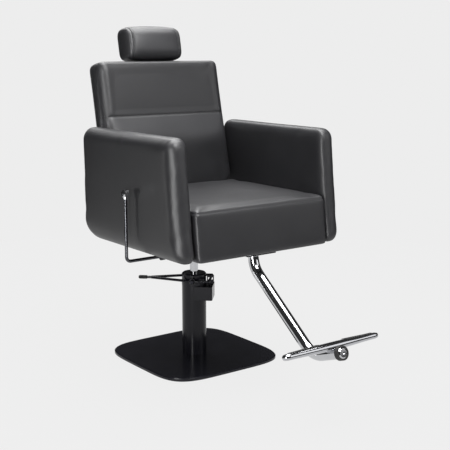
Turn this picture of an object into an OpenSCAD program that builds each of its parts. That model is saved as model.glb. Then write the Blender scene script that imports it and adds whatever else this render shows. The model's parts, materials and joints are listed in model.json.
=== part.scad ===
// Hydraulic barber chair with a reclining back, padded arms, a headrest and a T-bar footrest.
// Millimetres, +Z up, front towards -Y. The origin is on the floor, on the axis of the lift column.

/* [Base] */
// Side of the square base plate, at the middle of its sides
base_w = 456; // [400:1:600]
// Squareness of the base outline: 2 is a circle, larger is squarer
base_square = 4.8; // [3:0.1:8]
// Thickness of the steel base plate
plate_t = 10; // [8:1:16]
// Height of the softened top edge of the base plate
plate_edge = 3; // [1:0.5:5]
// Thickness of the rubber mat under the base plate
mat_t = 3; // [2:0.5:6]
// How far the mat stays inside the plate's outline
mat_inset = 10; // [4:1:30]

/* [Lift pump] */
// Outside diameter of the pump casing
casing_d = 82; // [76:1:100]
// Wall of the pump casing
casing_wall = 4; // [3:0.5:6]
// Height of the pump casing above the base plate
casing_h = 237; // [225:1:260]
// Height of the pump head above the casing
head_h = 42; // [38:1:52]
// Diameter of the lift piston rod
rod_d = 28; // [24:1:32]
// Bore of the inner cylinder that the piston runs in
liner_bore = 38; // [36:1:44]
// Wall of the inner cylinder
liner_wall = 4; // [3:0.5:6]
// Length of the piston
piston_h = 26; // [20:1:30]
// Travel of the seat above its rest height
lift_up = 120; // [80:1:125]
// Travel of the seat below its rest height
lift_down = 50; // [20:1:52]

/* [Pump pedal] */
// Compass direction of the pedal, seen from above, from +X
pedal_turn = 138; // [90:1:180]
// Reach of the pedal from the column's axis
pedal_reach = 188; // [165:1:240]
// Distance from the column's axis to where the two pedal arms meet
pedal_join = 145; // [110:1:150]
// Diameter of the pedal rod
pedal_d = 9; // [7:0.5:12]
// Side clearance between the pedal arms and the pump head
pedal_gap = 5; // [3:0.5:12]
// Distance from the column's axis to the pump plunger
plunger_offset = 56; // [54:0.5:62]
// Diameter of the pump plunger
plunger_d = 12; // [10:0.5:14]
// Height of the plunger block beside the casing
block_h = 46; // [40:1:70]

/* [Seat] */
// Height of the seat's underside above the floor
seat_z = 421; // [400:1:460]
// Overall width across the arms
chair_w = 640; // [600:1:720]
// Thickness of one arm
arm_t = 67; // [60:1:90]
// Gap between the seat cushion and each arm
arm_gap = 3; // [2:0.5:8]
// Height of the arms, from their underside to their top
arm_h = 367; // [340:1:400]
// Length of the arms along their underside
arm_l = 574; // [560:1:620]
// How far the arms' front edge leans back from bottom to top
arm_lean = 43; // [20:1:60]
// How far the arms reach behind the column's axis
arm_rear = 184; // [175:1:200]
// Height of the seat cushion at its front seam, above the seat's underside
seat_h = 152; // [140:1:170]
// Crown of the seat cushion above its seam
seat_crown = 10; // [4:1:16]
// How far the seat cushion reaches behind the column's axis
seat_rear = 98; // [90:1:100]
// Thickness of the plywood of the seat carcase
ply_t = 18; // [15:1:21]
// Height of the plywood seat carcase
carcase_h = 89; // [80:1:100]
// Thickness of the padding in front of the carcase
apron_t = 23; // [18:1:30]

/* [Backrest] */
// Lean of the backrest from upright, at rest
back_lean = 11.5; // [6:0.5:16]
// Height of the recline hinge above the seat's underside
hinge_up = 49; // [45:1:54]
// Distance of the recline hinge behind the column's axis
hinge_rear = 121; // [118:1:130]
// Width of the backrest cushion at its lower edge
back_w = 494; // [480:1:496]
// How much narrower the backrest cushion is at its top
back_taper = 14; // [0:1:40]
// Distance from the recline hinge to the cushion's lower edge
back_start = 92; // [86:1:100]
// Height of the backrest cushion, along its lean
back_h = 435; // [400:1:450]
// Thickness of the backrest cushion at its edges
back_t = 80; // [74:1:90]
// Height of the cross seam above the cushion's lower edge
back_seam = 251; // [220:1:270]
// Travel of the backrest from rest to full recline, in degrees
recline = 35; // [20:1:36]

/* [Headrest] */
// Length of the headrest pad, across the chair
head_w = 222; // [200:1:280]
// Height of the headrest pad
head_pad_h = 114; // [100:1:130]
// Depth of the headrest pad, front to back
head_pad_t = 92; // [80:1:110]
// Gap between the backrest and the headrest at rest
head_gap = 10; // [8:1:20]
// How far the headrest pad sits behind the backrest's middle plane
head_back = 20; // [10:1:30]
// Travel of the headrest above its rest place
head_travel = 80; // [40:5:90]
// Width of the flat headrest bar
head_bar_w = 50; // [40:1:60]
// Thickness of the flat headrest bar
head_bar_t = 6; // [5:0.5:8]

/* [Footrest] */
// Diameter of the footrest tube
foot_d = 33.5; // [30:0.5:40]
// Wall of the footrest tube
foot_wall = 2; // [1.5:0.5:3]
// Distance of the footrest tube's top behind the front of the seat carcase
foot_front = 43; // [42:1:65]
// Slope of the footrest tube below level, in degrees
foot_slope = 37.5; // [30:0.5:45]
// Rise of the footrest tube's end above level, in degrees
foot_rise = 19; // [10:0.5:25]
// Length of the straight run of the footrest tube, corner to corner
foot_run = 354; // [320:1:380]
// Length of the footrest tube's end, from the corner
foot_end = 128; // [122:1:140]
// Length of the T-bar
bar_l = 362; // [300:1:420]
// Width of the T-bar at its middle
bar_w = 50; // [44:1:56]
// Thickness of the T-bar
bar_t = 17; // [14:0.5:20]

/* [Recline release] */
// Diameter of the release lever's rod
lever_d = 10; // [8:0.5:12]
// Distance from the arm's outer face to the release lever's rod
lever_gap = 20; // [16:1:30]
// Distance of the release shaft in front of the column's axis
lever_front = 140; // [135:1:150]
// Depth of the release shaft below the seat's underside
lever_drop = 21; // [18:1:24]
// Height of the release knob above the release shaft
lever_h = 209; // [180:1:240]
// Travel of the release lever, in degrees
lever_turn = 18; // [10:1:20]
// Outside diameter of the recline strut
strut_d = 28; // [24:1:30]
// Distance of the recline strut to the left of the chair's middle
strut_side = 140; // [120:1:170]
// Length of the crank from the recline hinge to the strut
crank_r = 86; // [82:1:90]

/* [Fits] */
// Radial step where a bend meets a straight run
bend_proud = 0.05; // [0.02:0.01:0.1]
// Radial clearance of a running fit
run_gap = 0.05; // [0.03:0.01:0.1]
// Clearance between pieces that are seated on each other
seat_gap = 0.3; // [0.2:0.05:0.5]

/* [Hidden] */
$fn = 48;
eps = 0.01;

// Colours of the finishes
black_vinyl = [0.23, 0.23, 0.24];
black_paint = [0.09, 0.09, 0.10];
rubber = [0.05, 0.05, 0.05];
chrome = [0.80, 0.81, 0.83];
steel = [0.55, 0.56, 0.58];
ply = [0.76, 0.62, 0.42];
bronze = [0.70, 0.52, 0.28];

// Levels on the column's axis
plate_z = mat_t;
plate_top = plate_z + plate_t;
casing_top = plate_top + casing_h;
head_top = casing_top + head_h;
head_d = casing_d + 1;
pump_foot_h = 20;
casing_bore = casing_d - 2 * casing_wall;
liner_d = liner_bore + 2 * liner_wall;
spigot_h = 8;
bush_bottom = casing_top - 4;
seal_h = 6;
lip_h = 4;
piston_top = bush_bottom - lift_up - 2;
base_bolt_d = 10;
base_bolt_circle = casing_bore / 2 - base_bolt_d - 2;

// Pump pedal, in a frame turned so that +X points along the pedal
pivot_z = casing_top + head_h / 2;
pivot_d = 12;
eye_d = 22;
arm_side = head_d / 2 + pedal_gap + pedal_d / 2;
block_side = casing_d / 2 + 2;
block_end = plunger_offset + plunger_d / 2 + 4;
slot_h = pedal_d + 1.2;
slot_w = pedal_d + 8;
plunger_head_h = slot_h + 12;
plunger_foot = casing_top - block_h + 8;
sleeve_d = pedal_d + 4;
sleeve_l = 32;

// Seat mount on top of the piston rod
mount_plate_t = 6;
mount_plate_w = 220;
mount_bottom = seat_z - mount_plate_t;
hub_h = 70;
hub_bottom = mount_bottom - hub_h;
hub_d = 56;
washer_t = 7;
rod_top = mount_bottom - washer_t;
bolt_d = 8;
bolt_hole_d = bolt_d + 0.8;
bolt_head_h = 5;
bolt_head_d = 15;
mount_bolt_at = 85;

// Arms and seat
arm_in = chair_w / 2 - arm_t;
arm_front = arm_l - arm_rear;
arm_crown = 3;
arm_edge = 27;
lean_rate = arm_lean / arm_h;
seat_half = arm_in - arm_gap;
seat_front = arm_front - 2;
carcase_front = seat_front - apron_t;
carcase_half = seat_half - 15;
carcase_rear = seat_rear - 10;
carcase_top = seat_z + carcase_h;
core_inset = 45;
core_t = 18;
core_mid = chair_w / 2 - arm_t / 2;
core_bottom = seat_z + 36;
arm_bolt_z = carcase_top - 32;
arm_bolt_front = 85 - carcase_front;
arm_bolt_rear = carcase_rear - 28;
arm_bolt_ys = [arm_bolt_front, (arm_bolt_front + arm_bolt_rear) / 2, arm_bolt_rear];

// Backrest, in a frame whose origin is the recline hinge and whose +Z runs up the lean
hinge_y = hinge_rear;
hinge_z = seat_z + hinge_up;
hinge_d = 12;
back_edge = 22;
core_half = back_w / 2 - 22;
back_core_t = 15;
back_core_start = back_start + 20;
back_core_h = back_h - 42;
ear_t = 5;
ear_in = core_half + 1.5;
ear_half = 18;
ear_h = 330;
flange_w = 36;
flange_start = back_start + 32;
flange_n = back_core_t / 2 + seat_gap;
flange_t = 5;
back_bolt_d = 6;
back_bolt_hole_d = back_bolt_d + 0.6;
back_bolt_head = [11, 4];
back_bolt_in = 33;
frame_tube_d = 25;
frame_tube_s = 28;
bracket_in = ear_in + ear_t + 1;
bracket_t = 6;
bracket_half = 25;

// Headrest, in the backrest's frame
bar_n = flange_n + 3.2;
guide_w = head_bar_w + 12;
guide_n = [flange_n, bar_n + head_bar_t + 3.2];
guide_h = 90;
back_top = back_start + back_h;
guide_start = back_top - guide_h;
bar_start = guide_start - 40;
head_start = back_top + head_gap;
head_edge = 14;
head_core_t = 12;
head_core_end = 30;
head_core_margin = 24;
head_bar_end = head_start + head_pad_h - 30;

// Footrest
flange_plate = [110, 84, 6];
foot_top = seat_z - flange_plate[2];
foot_y = foot_front - carcase_front;
foot_bend1 = 70;
foot_bend2 = 80;
foot_drop = seat_z - 49;
bend1_run = foot_bend1 * tan((90 - foot_slope) / 2);
bend2_run = foot_bend2 * tan((foot_slope + foot_rise) / 2);
bar_seat = 3;
bar_back = bar_w / 2 + 13;
bar_tip_r = 15;
tread_margin = 5;
tread_t = 3;
tread_proud = 1;
ring_d = foot_d + 9;
ring_l = 14;

// Recline release and strut
lever_x = -(chair_w / 2 + lever_gap + lever_d / 2);
lever_y = -lever_front;
lever_z = seat_z - lever_drop;
lever_bend = 14;
shaft_end = -(strut_side - 40);
shaft_bracket_w = 14;
strut_x = -strut_side;
crank_half = recline / 2;
strut_z = hinge_z - crank_r * (1 + cos(crank_half)) / 2;
strut_rest_y = hinge_y + crank_r * sin(crank_half);
strut_stroke = 2 * crank_r * sin(crank_half);
strut_front = lever_y + 44;
strut_l = strut_rest_y - strut_stroke - 44 - strut_front;
strut_wall = 3;
strut_rod_d = 10;
crank_pin_d = 8;
strut_eye_bore = crank_pin_d + 5;
strut_eye_d = strut_eye_bore + 10;
strut_eye_t = 12;
crank_t = 6;
finger_w = 12;
finger_half = 4;
pin_gap = 0.4;
release_pin_d = 6;
release_travel = (lever_z - strut_z + release_pin_d / 2) * tan(lever_turn);

// Solids that repeat

module ring(outer, bore, h) {
    difference() {
        cylinder(d = outer, h = h);
        translate([0, 0, -1]) cylinder(d = bore, h = h + 2);
    }
}

// A round rod from one point to another
module rod(from, to, d) {
    run = to - from;
    length = norm(run);
    translate(from)
        rotate([0, acos(run[2] / length), atan2(run[1], run[0])])
            cylinder(d = d, h = length);
}

// A rod along +X from x0 to x1
module x_rod(x0, x1, d) {
    translate([x0, 0, 0]) rotate([0, 90, 0]) cylinder(d = d, h = x1 - x0);
}

// A box given by its lowest and highest corners
module box(low, high) {
    translate(low) cube(high - low);
}

// How far a straight leg of a bent rod laps into a bend of that radius
function lap(r) = 0.7 * sqrt(2 * r * bend_proud);

// A rod that starts along +Z and bends in the XZ plane, towards +X. Each bend is thicker than the
// legs by bend_proud, and its legs lap into it. The two free ends are longer by over.
module bent_rod(d, legs, radii, angles, over = 0, i = 0) {
    last = i == len(angles);
    before = i == 0 ? over : lap(radii[i - 1]);
    after = last ? over : lap(radii[i]);
    translate([0, 0, -before]) cylinder(d = d, h = before + legs[i] + after);
    if (!last) {
        a = angles[i];
        r = radii[i];
        translate([0, 0, legs[i]]) {
            translate([r, 0, 0]) rotate([90, 0, 0]) rotate([0, 0, 180 - a])
                rotate_extrude(angle = a) translate([r, 0]) circle(d = d + 2 * bend_proud);
            translate([r * (1 - cos(a)), 0, r * sin(a)]) rotate([0, a, 0])
                bent_rod(d, legs, radii, angles, over, i + 1);
        }
    }
}

// A hexagon-head bolt along +Z, with its head below z = 0
module hex_bolt(d, length, head_d, head_h) {
    translate([0, 0, -head_h]) cylinder(d = head_d, h = head_h, $fn = 6);
    cylinder(d = d, h = length);
}

// The square base outline, as a superellipse
function base_outline(half, steps = 96) = [
    for (i = [0 : steps - 1])
        let (c = cos(360 * i / steps), s = sin(360 * i / steps), p = 2 / base_square)
            [half * sign(c) * pow(abs(c), p), half * sign(s) * pow(abs(s), p)]
];

// Padded, upholstered blocks

// Grid lines across a pad: close together in the rounded edges, even between them
function pad_lines(size, edge, count) = concat(
    [for (a = [0, 30, 60]) -size / 2 + edge * (1 - cos(a))],
    [for (i = [0 : count]) -size / 2 + edge + (size - 2 * edge) * i / count],
    [for (a = [60, 30, 0]) size / 2 - edge * (1 - cos(a))]
);

function corner_radius(u, v, radii) = radii[(u > 0 ? 1 : 0) + (v > 0 ? 2 : 0)];

// A point of the square grid, moved so that the outline has round corners
function pad_point(u, v, size, radii) =
    let (
        r = corner_radius(u, v, radii),
        du = abs(u) - size[0] / 2 + r,
        dv = abs(v) - size[1] / 2 + r
    )
    du <= 0 || dv <= 0 ? [u, v] : [
        sign(u) * (size[0] / 2 - r + du * sqrt(1 - dv * dv / (2 * r * r))),
        sign(v) * (size[1] / 2 - r + dv * sqrt(1 - du * du / (2 * r * r)))
    ];

// How far a point lies inside the outline, and the outward direction there
function pad_depth(p, size, radii) =
    let (
        r = corner_radius(p[0], p[1], radii),
        du = abs(p[0]) - size[0] / 2 + r,
        dv = abs(p[1]) - size[1] / 2 + r
    )
    du > 0 && dv > 0 ? r - norm([du, dv]) : min(r - du, r - dv);

function pad_outward(p, size, radii) =
    let (
        r = corner_radius(p[0], p[1], radii),
        du = max(0, abs(p[0]) - size[0] / 2 + r),
        dv = max(0, abs(p[1]) - size[1] / 2 + r),
        length = max(norm([du, dv]), eps)
    )
    [sign(p[0]) * du / length, sign(p[1]) * dv / length];

function edge_round(depth, edge) =
    depth >= edge ? 0 : -edge * (1 - sqrt(max(0, 1 - pow(1 - depth / edge, 2))));

function ring_cell(i, n, m) =
    i < n ? [i, 0] : i < n + m ? [n, i - n] : i < 2 * n + m ? [2 * n + m - i, m] : [0, 2 * (n + m) - i];

// A padded block on the XY plane: size is [width, height, thickness], radii are the outline's corners
// in the order [-x -y, +x -y, -x +y, +x +y], edges are the roundings of the lower and upper face,
// crown gives the swell of each face at a point, and bulge is how far the side walls stand out.
module pad(size, radii, edges, us, vs, crown, bulge = 0, walls = 2, warp = function(p) p) {
    n = len(us) - 1;
    m = len(vs) - 1;
    per_face = (n + 1) * (m + 1);
    round_count = 2 * (n + m);
    flat = [for (v = vs) for (u = us) pad_point(u, v, size, radii)];
    face = function(k) [
        for (p = flat)
            let (depth = pad_depth(p, size, radii))
                [p[0], p[1], (k == 0 ? -1 : 1) * (size[2] / 2 + edge_round(depth, edges[k]) + crown(p, k))]
    ];
    lower = face(0);
    upper = face(1);
    cell = function(c) c[1] * (n + 1) + c[0];
    border = [for (i = [0 : round_count - 1]) cell(ring_cell(i, n, m))];
    between = [
        for (w = [1 : 1 : walls - 1]) for (i = border)
            let (f = w / walls, out = pad_outward(flat[i], size, radii) * bulge * 4 * f * (1 - f))
                [lower[i][0] + out[0], lower[i][1] + out[1], lower[i][2] * (1 - f) + upper[i][2] * f]
    ];
    at = function(w, i)
        let (j = i % round_count)
            w == 0 ? border[j] : w == walls ? per_face + border[j] : 2 * per_face + (w - 1) * round_count + j;
    cells = [for (j = [0 : m - 1]) for (i = [0 : n - 1]) j * (n + 1) + i];
    polyhedron(
        points = [for (p = concat(lower, upper, between)) warp(p)],
        faces = concat(
            [for (c = cells) each [[c, c + 1, c + n + 2], [c, c + n + 2, c + n + 1]]],
            [for (c = cells) let (k = c + per_face) each [[k, k + n + 2, k + 1], [k, k + n + 1, k + n + 2]]],
            [for (w = [0 : walls - 1]) for (i = [0 : round_count - 1])
                each [[at(w, i), at(w + 1, i), at(w + 1, i + 1)], [at(w, i), at(w + 1, i + 1), at(w, i + 1)]]]
        )
    );
}

// A smooth swell that is full in the middle and nothing at the outline
function swell(p, size) = (1 - pow(2 * p[0] / size[0], 2)) * (1 - pow(2 * p[1] / size[1], 2));

// Frames that pieces are placed in

module at_pedal() {
    rotate([0, 0, pedal_turn]) children();
}

module at_backrest() {
    translate([0, hinge_y, hinge_z]) rotate([-back_lean, 0, 0]) children();
}

// Footrest tube's start, turned so that +Z runs down and +X runs forward
module at_footrest() {
    translate([0, foot_y, foot_top]) rotate([180, 0, -90]) children();
}

// Footrest tube's free end: +Z along the tube, +X upwards across it
module at_footrest_end() {
    corner1 = foot_top - foot_drop;
    corner2 = [foot_run * cos(foot_slope), corner1 + foot_run * sin(foot_slope)];
    at_footrest()
        translate([corner2[0] + foot_end * cos(foot_rise), 0, corner2[1] - foot_end * sin(foot_rise)])
            rotate([0, 90 + foot_rise, 0]) children();
}

module both_sides() {
    for (side = [0, 1]) mirror([side, 0, 0]) children();
}

// Base

module base_mat() {
    color(rubber) linear_extrude(height = mat_t) polygon(base_outline(base_w / 2 - mat_inset));
}

module base_plate() {
    half = base_w / 2;
    color(black_paint) difference() {
        union() {
            translate([0, 0, plate_z])
                linear_extrude(height = plate_t - plate_edge) polygon(base_outline(half));
            translate([0, 0, plate_top - plate_edge])
                linear_extrude(height = plate_edge, scale = (half - plate_edge) / half)
                    polygon(base_outline(half));
        }
        base_bolt_places() {
            translate([0, 0, plate_z - 1]) cylinder(d = base_bolt_d + 1, h = plate_t + 2);
            translate([0, 0, plate_z - 1]) cylinder(d = 2 * base_bolt_d, h = plate_t / 2 + 1);
        }
    }
}

module base_bolt_places() {
    for (a = [45 : 90 : 315]) rotate([0, 0, a]) translate([base_bolt_circle, 0, 0]) children();
}

module base_bolts() {
    head_h = plate_t / 2 - 1;
    color(steel) base_bolt_places() translate([0, 0, plate_z + plate_t / 2])
        hex_bolt(base_bolt_d, plate_t / 2 + pump_foot_h - 2, 2 * base_bolt_d - 2, head_h);
}

// Lift pump

module pump_foot() {
    color(steel) difference() {
        translate([0, 0, plate_top]) cylinder(d = casing_bore - 2 * run_gap, h = pump_foot_h);
        base_bolt_places() translate([0, 0, plate_top - 1])
            cylinder(d = base_bolt_d + 2 * run_gap, h = pump_foot_h + 2);
    }
}

module pump_casing() {
    color(black_paint) translate([0, 0, plate_top]) ring(casing_d, casing_bore, casing_h);
}

module cylinder_liner() {
    bottom = plate_top + pump_foot_h;
    color(steel) translate([0, 0, bottom]) ring(liner_d, liner_bore, bush_bottom - bottom);
}

module pump_head() {
    shoulder = 4;
    color(black_paint) difference() {
        union() {
            translate([0, 0, casing_top]) cylinder(d = head_d, h = head_h - shoulder);
            translate([0, 0, head_top - shoulder])
                cylinder(d1 = head_d, d2 = head_d - 2 * shoulder, h = shoulder);
            translate([0, 0, casing_top - spigot_h])
                cylinder(d = casing_bore - 2 * run_gap, h = spigot_h + 1);
        }
        translate([0, 0, casing_top - spigot_h - 1])
            cylinder(d = liner_d + 2 * run_gap, h = head_h + spigot_h + 1 - lip_h);
        cylinder(d = rod_d + 2, h = head_top + 1);
        at_pedal() translate([0, 0, pivot_z]) rotate([90, 0, 0])
            cylinder(d = pivot_d + 2 * run_gap, h = head_d + 2, center = true);
    }
}

module guide_bush() {
    h = head_top - lip_h - seal_h - bush_bottom - 1;
    color(bronze) translate([0, 0, bush_bottom]) ring(liner_d, rod_d + 2 * run_gap, h);
}

module rod_seal() {
    color(rubber) translate([0, 0, head_top - lip_h - seal_h])
        ring(liner_d, rod_d + 2 * seat_gap, seal_h);
}

module plunger_block() {
    corner = 6;
    height = block_h;
    half = block_side;
    color(black_paint) difference() {
        translate([0, 0, casing_top - height]) at_pedal() hull() {
            for (v = [-1, 1]) {
                translate([-block_end + corner, v * (half - corner), 0])
                    cylinder(r = corner, h = height, $fn = 32);
                translate([-corner, v * (half - corner), 0]) cylinder(r = corner, h = height, $fn = 32);
            }
        }
        cylinder(d = casing_d + 2 * run_gap, h = casing_top + 1);
        at_pedal() translate([-plunger_offset, 0, plunger_foot - 4])
            cylinder(d = plunger_d + 2 * run_gap, h = block_h);
    }
}

module trunnion_pins() {
    inner = liner_d / 2 + 2;
    outer = arm_side + pedal_d / 2 + 4;
    color(steel) at_pedal() for (v = [0, 180]) rotate([0, 0, v])
        translate([0, inner, pivot_z]) rotate([-90, 0, 0]) {
            cylinder(d = pivot_d, h = outer - inner);
            translate([0, 0, outer - inner]) cylinder(d1 = pivot_d + 4, d2 = pivot_d, h = 3);
        }
}

module pedal_yoke() {
    eye_t = pedal_d;
    color(black_paint) at_pedal() translate([0, 0, pivot_z]) difference() {
        union() {
            for (v = [-1, 1]) {
                translate([0, v * arm_side, 0]) rotate([90, 0, 0])
                    cylinder(d = eye_d, h = eye_t, center = true);
                rod([0, v * arm_side, 0], [pedal_join, v * pedal_d * 0.3, 0], pedal_d);
                rod([0, v * arm_side, 0], [-plunger_offset, v * arm_side, 0], pedal_d);
                translate([-plunger_offset, v * arm_side, 0]) sphere(d = pedal_d);
            }
            rod([-plunger_offset, -arm_side, 0], [-plunger_offset, arm_side, 0], pedal_d);
            rod([pedal_join - 4, 0, 0], [pedal_reach, 0, 0], pedal_d);
        }
        rotate([90, 0, 0]) cylinder(d = pivot_d + 2 * run_gap, h = 2 * arm_side + 2 * eye_t, center = true);
    }
}

module pedal_sleeve() {
    color(rubber) at_pedal() translate([pedal_reach - sleeve_l + 4, 0, pivot_z]) rotate([0, 90, 0])
        difference() {
            union() {
                cylinder(d = sleeve_d, h = sleeve_l - 4);
                translate([0, 0, sleeve_l - 4]) cylinder(d1 = sleeve_d, d2 = sleeve_d - 4, h = 2);
            }
            translate([0, 0, -1]) cylinder(d = pedal_d + 2 * run_gap, h = sleeve_l - 3 + run_gap);
        }
}

module pump_plunger() {
    head_z = pivot_z - plunger_head_h / 2;
    color(steel) at_pedal() translate([-plunger_offset, 0, 0]) difference() {
        union() {
            translate([0, 0, plunger_foot]) cylinder(d = plunger_d, h = head_z - plunger_foot + 1);
            box([-slot_w / 2 - 3, -plunger_d / 2, head_z],
                [slot_w / 2 + 3, plunger_d / 2, head_z + plunger_head_h]);
        }
        box([-slot_w / 2, -plunger_d, pivot_z - slot_h / 2], [slot_w / 2, plunger_d, pivot_z + slot_h / 2]);
    }
}

// Lift piston

module piston_rod() {
    color(chrome) {
        translate([0, 0, piston_top - piston_h]) cylinder(d = rod_d, h = rod_top - piston_top + piston_h);
    }
}

module piston() {
    groove_h = 6;
    color(steel) translate([0, 0, piston_top - piston_h]) difference() {
        ring(liner_bore - 2 * run_gap, rod_d + 2 * run_gap, piston_h);
        translate([0, 0, (piston_h - groove_h) / 2]) ring(liner_bore + 2, liner_bore - 5, groove_h);
    }
}

module piston_ring() {
    ring_h = 5.6;
    color(rubber) translate([0, 0, piston_top - (piston_h + ring_h) / 2])
        ring(liner_bore - 2 * run_gap, liner_bore - 5 + 2 * run_gap, ring_h);
}

// Seat structure

module seat_mount() {
    rib_t = 6;
    reach = mount_plate_w / 2 - 12;
    color(black_paint) difference() {
        union() {
            translate([0, 0, mount_bottom + mount_plate_t / 2])
                cube([mount_plate_w, mount_plate_w, mount_plate_t], center = true);
            translate([0, 0, hub_bottom]) cylinder(d = hub_d, h = hub_h + 1);
            for (a = [0 : 90 : 270]) rotate([0, 0, a]) translate([0, rib_t / 2, 0]) rotate([90, 0, 0])
                linear_extrude(height = rib_t) polygon([
                    [rod_d / 2 + 4, mount_bottom + 1], [reach, mount_bottom + 1], [reach, mount_bottom - 6],
                    [hub_d / 2 + 4, hub_bottom + 12], [rod_d / 2 + 4, hub_bottom + 12]
                ]);
        }
        translate([0, 0, hub_bottom - 1]) cylinder(d = rod_d + 2 * run_gap, h = hub_h + 1);
        mount_bolt_places() translate([0, 0, mount_bottom - 1])
            cylinder(d = bolt_hole_d, h = mount_plate_t + 2);
    }
}

module mount_bolt_places() {
    for (x = [-1, 1]) for (y = [-1, 1])
        translate([x * mount_bolt_at, y * mount_bolt_at * 0.88, 0]) children();
}

module thrust_washer() {
    color(bronze) translate([0, 0, rod_top + seat_gap])
        cylinder(d = rod_d - 2 * run_gap, h = washer_t - seat_gap);
}

module seat_bolts() {
    color(steel) mount_bolt_places() translate([0, 0, mount_bottom])
        hex_bolt(bolt_d, mount_plate_t + ply_t - 2, bolt_head_d, bolt_head_h);
}

module seat_carcase() {
    wall = ply_t;
    color(ply) difference() {
        box([-carcase_half, -carcase_front, seat_z], [carcase_half, carcase_rear, carcase_top]);
        box([-carcase_half + wall, -carcase_front + wall, seat_z + wall],
            [carcase_half - wall, carcase_rear - wall, carcase_top + 1]);
        mount_bolt_places() translate([0, 0, seat_z - 1]) cylinder(d = bolt_hole_d, h = wall + 2);
        footrest_bolt_places() translate([0, 0, seat_z - 1]) cylinder(d = bolt_hole_d, h = wall + 2);
        arm_bolt_holes(carcase_half - wall - 1, carcase_half + 1);
    }
}

module arm_bolt_holes(from, to) {
    both_sides() for (y = arm_bolt_ys) translate([from, y, arm_bolt_z]) rotate([0, 90, 0])
        cylinder(d = bolt_hole_d, h = to - from);
}

module arm_bolts() {
    start = carcase_half - ply_t;
    color(steel) both_sides() for (y = arm_bolt_ys) translate([start, y, arm_bolt_z]) rotate([0, 90, 0])
        hex_bolt(bolt_d, core_mid + core_t / 2 - 2 - start, bolt_head_d, bolt_head_h);
}

module seat_cushion() {
    size = [2 * seat_half, seat_front + seat_rear, seat_h];
    edges = [6, 14];
    mid_y = (seat_rear - seat_front) / 2;
    front = function(p) (size[1] / 2 - p[1]) / size[1];
    color(black_vinyl) difference() {
        translate([0, mid_y, seat_z + seat_h / 2])
            pad(size, [12, 12, 16, 16], edges, pad_lines(size[0], 14, 6), pad_lines(size[1], 14, 6),
                crown = function(p, k) k == 0 ? 0 : seat_crown * swell(p, size),
                bulge = -2, walls = 3,
                warp = function(p) [p[0], p[1] + lean_rate * (p[2] + size[2] / 2) * front(p), p[2]]);
        box([-carcase_half - seat_gap, -carcase_front - seat_gap, seat_z - 1],
            [carcase_half + seat_gap, seat_rear + 1, carcase_top + seat_gap]);
        box([-seat_half - 1, carcase_rear - 6, seat_z - 1],
            [seat_half + 1, seat_rear + 1, carcase_top + seat_gap]);
        arm_bolt_holes(carcase_half - 1, seat_half + 1);
    }
}

// Arms

module arm_pad() {
    size = [arm_l, arm_h, arm_t - 2 * arm_crown];
    radii = [65, 42, 40, 30];
    lean = function(p) [
        -size[0] / 2 + (p[0] + size[0] / 2) * (1 - lean_rate * (p[1] + size[1] / 2) / size[0]), p[1], p[2]
    ];
    difference() {
        translate([core_mid, arm_rear - arm_l / 2, seat_z + arm_h / 2]) rotate([90, 0, -90])
            pad(size, radii, [arm_edge, arm_edge],
                pad_lines(size[0], arm_edge, 7), pad_lines(size[1], arm_edge, 5),
                crown = function(p, k) arm_crown * swell(p, size), walls = 1, warp = lean);
        arm_core_shape(seat_gap);
        arm_bolt_holes(arm_in - 1, core_mid);
    }
}

module arm_core_shape(gap) {
    y0 = -arm_front + arm_lean + core_inset;
    box([core_mid - core_t / 2 - gap, y0 - gap, core_bottom - gap],
        [core_mid + core_t / 2 + gap, arm_rear - core_inset + gap, seat_z + arm_h - core_inset + gap]);
}

module arm_pad_left() {
    color(black_vinyl) mirror([1, 0, 0]) arm_pad();
}

module arm_pad_right() {
    color(black_vinyl) arm_pad();
}

module arm_core() {
    color(ply) difference() {
        arm_core_shape(0);
        arm_bolt_holes(arm_in - 1, core_mid + core_t);
    }
}

module arm_core_left() {
    mirror([1, 0, 0]) arm_core();
}

module arm_core_right() {
    arm_core();
}

// Footrest

module footrest_bolt_places() {
    for (x = [-1, 1]) translate([x * (flange_plate[0] / 2 - 14), foot_y + 2, 0]) children();
}

module footrest_flange() {
    color(black_paint) difference() {
        translate([0, foot_y, foot_top + flange_plate[2] / 2]) cube(flange_plate, center = true);
        footrest_bolt_places() translate([0, 0, foot_top - 1])
            cylinder(d = bolt_hole_d, h = flange_plate[2] + 2);
    }
}

module footrest_bolts() {
    color(steel) footrest_bolt_places() translate([0, 0, foot_top])
        hex_bolt(bolt_d, flange_plate[2] + ply_t - 2, bolt_head_d, bolt_head_h);
}

module footrest_path(d, over) {
    bent_rod(d,
        [foot_top - foot_drop - bend1_run, foot_run - bend1_run - bend2_run, foot_end - bend2_run],
        [foot_bend1, foot_bend2], [90 - foot_slope, foot_slope + foot_rise], over);
}

module footrest_tube() {
    color(chrome) at_footrest() difference() {
        footrest_path(foot_d, 0);
        footrest_path(foot_d - 2 * foot_wall, 1);
    }
}

// The T-bar lies across the tube's end, in a frame with +Z up off the tube and +Y towards the tube's end
module at_bar() {
    at_footrest_end() translate([foot_d / 2 - bar_seat, 0, -bar_back]) rotate([0, 90, 0]) rotate([0, 0, 90])
        children();
}

module bar_outline(inset) {
    for (x = [-1, 1]) {
        translate([x * (bar_l / 2 - bar_tip_r), 0]) circle(r = bar_tip_r - inset, $fn = 32);
        translate([x * bar_w * 0.6, 0]) circle(d = bar_w - 2 * inset, $fn = 32);
    }
}

module tread_outline(inset) {
    outer_r = bar_tip_r - tread_margin;
    inner_r = bar_w / 2 - tread_margin - 3;
    translate([bar_l / 2 - bar_tip_r - 25, 0]) circle(r = outer_r - inset, $fn = 32);
    translate([bar_w * 0.95, 0]) circle(r = inner_r - inset, $fn = 32);
}

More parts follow.
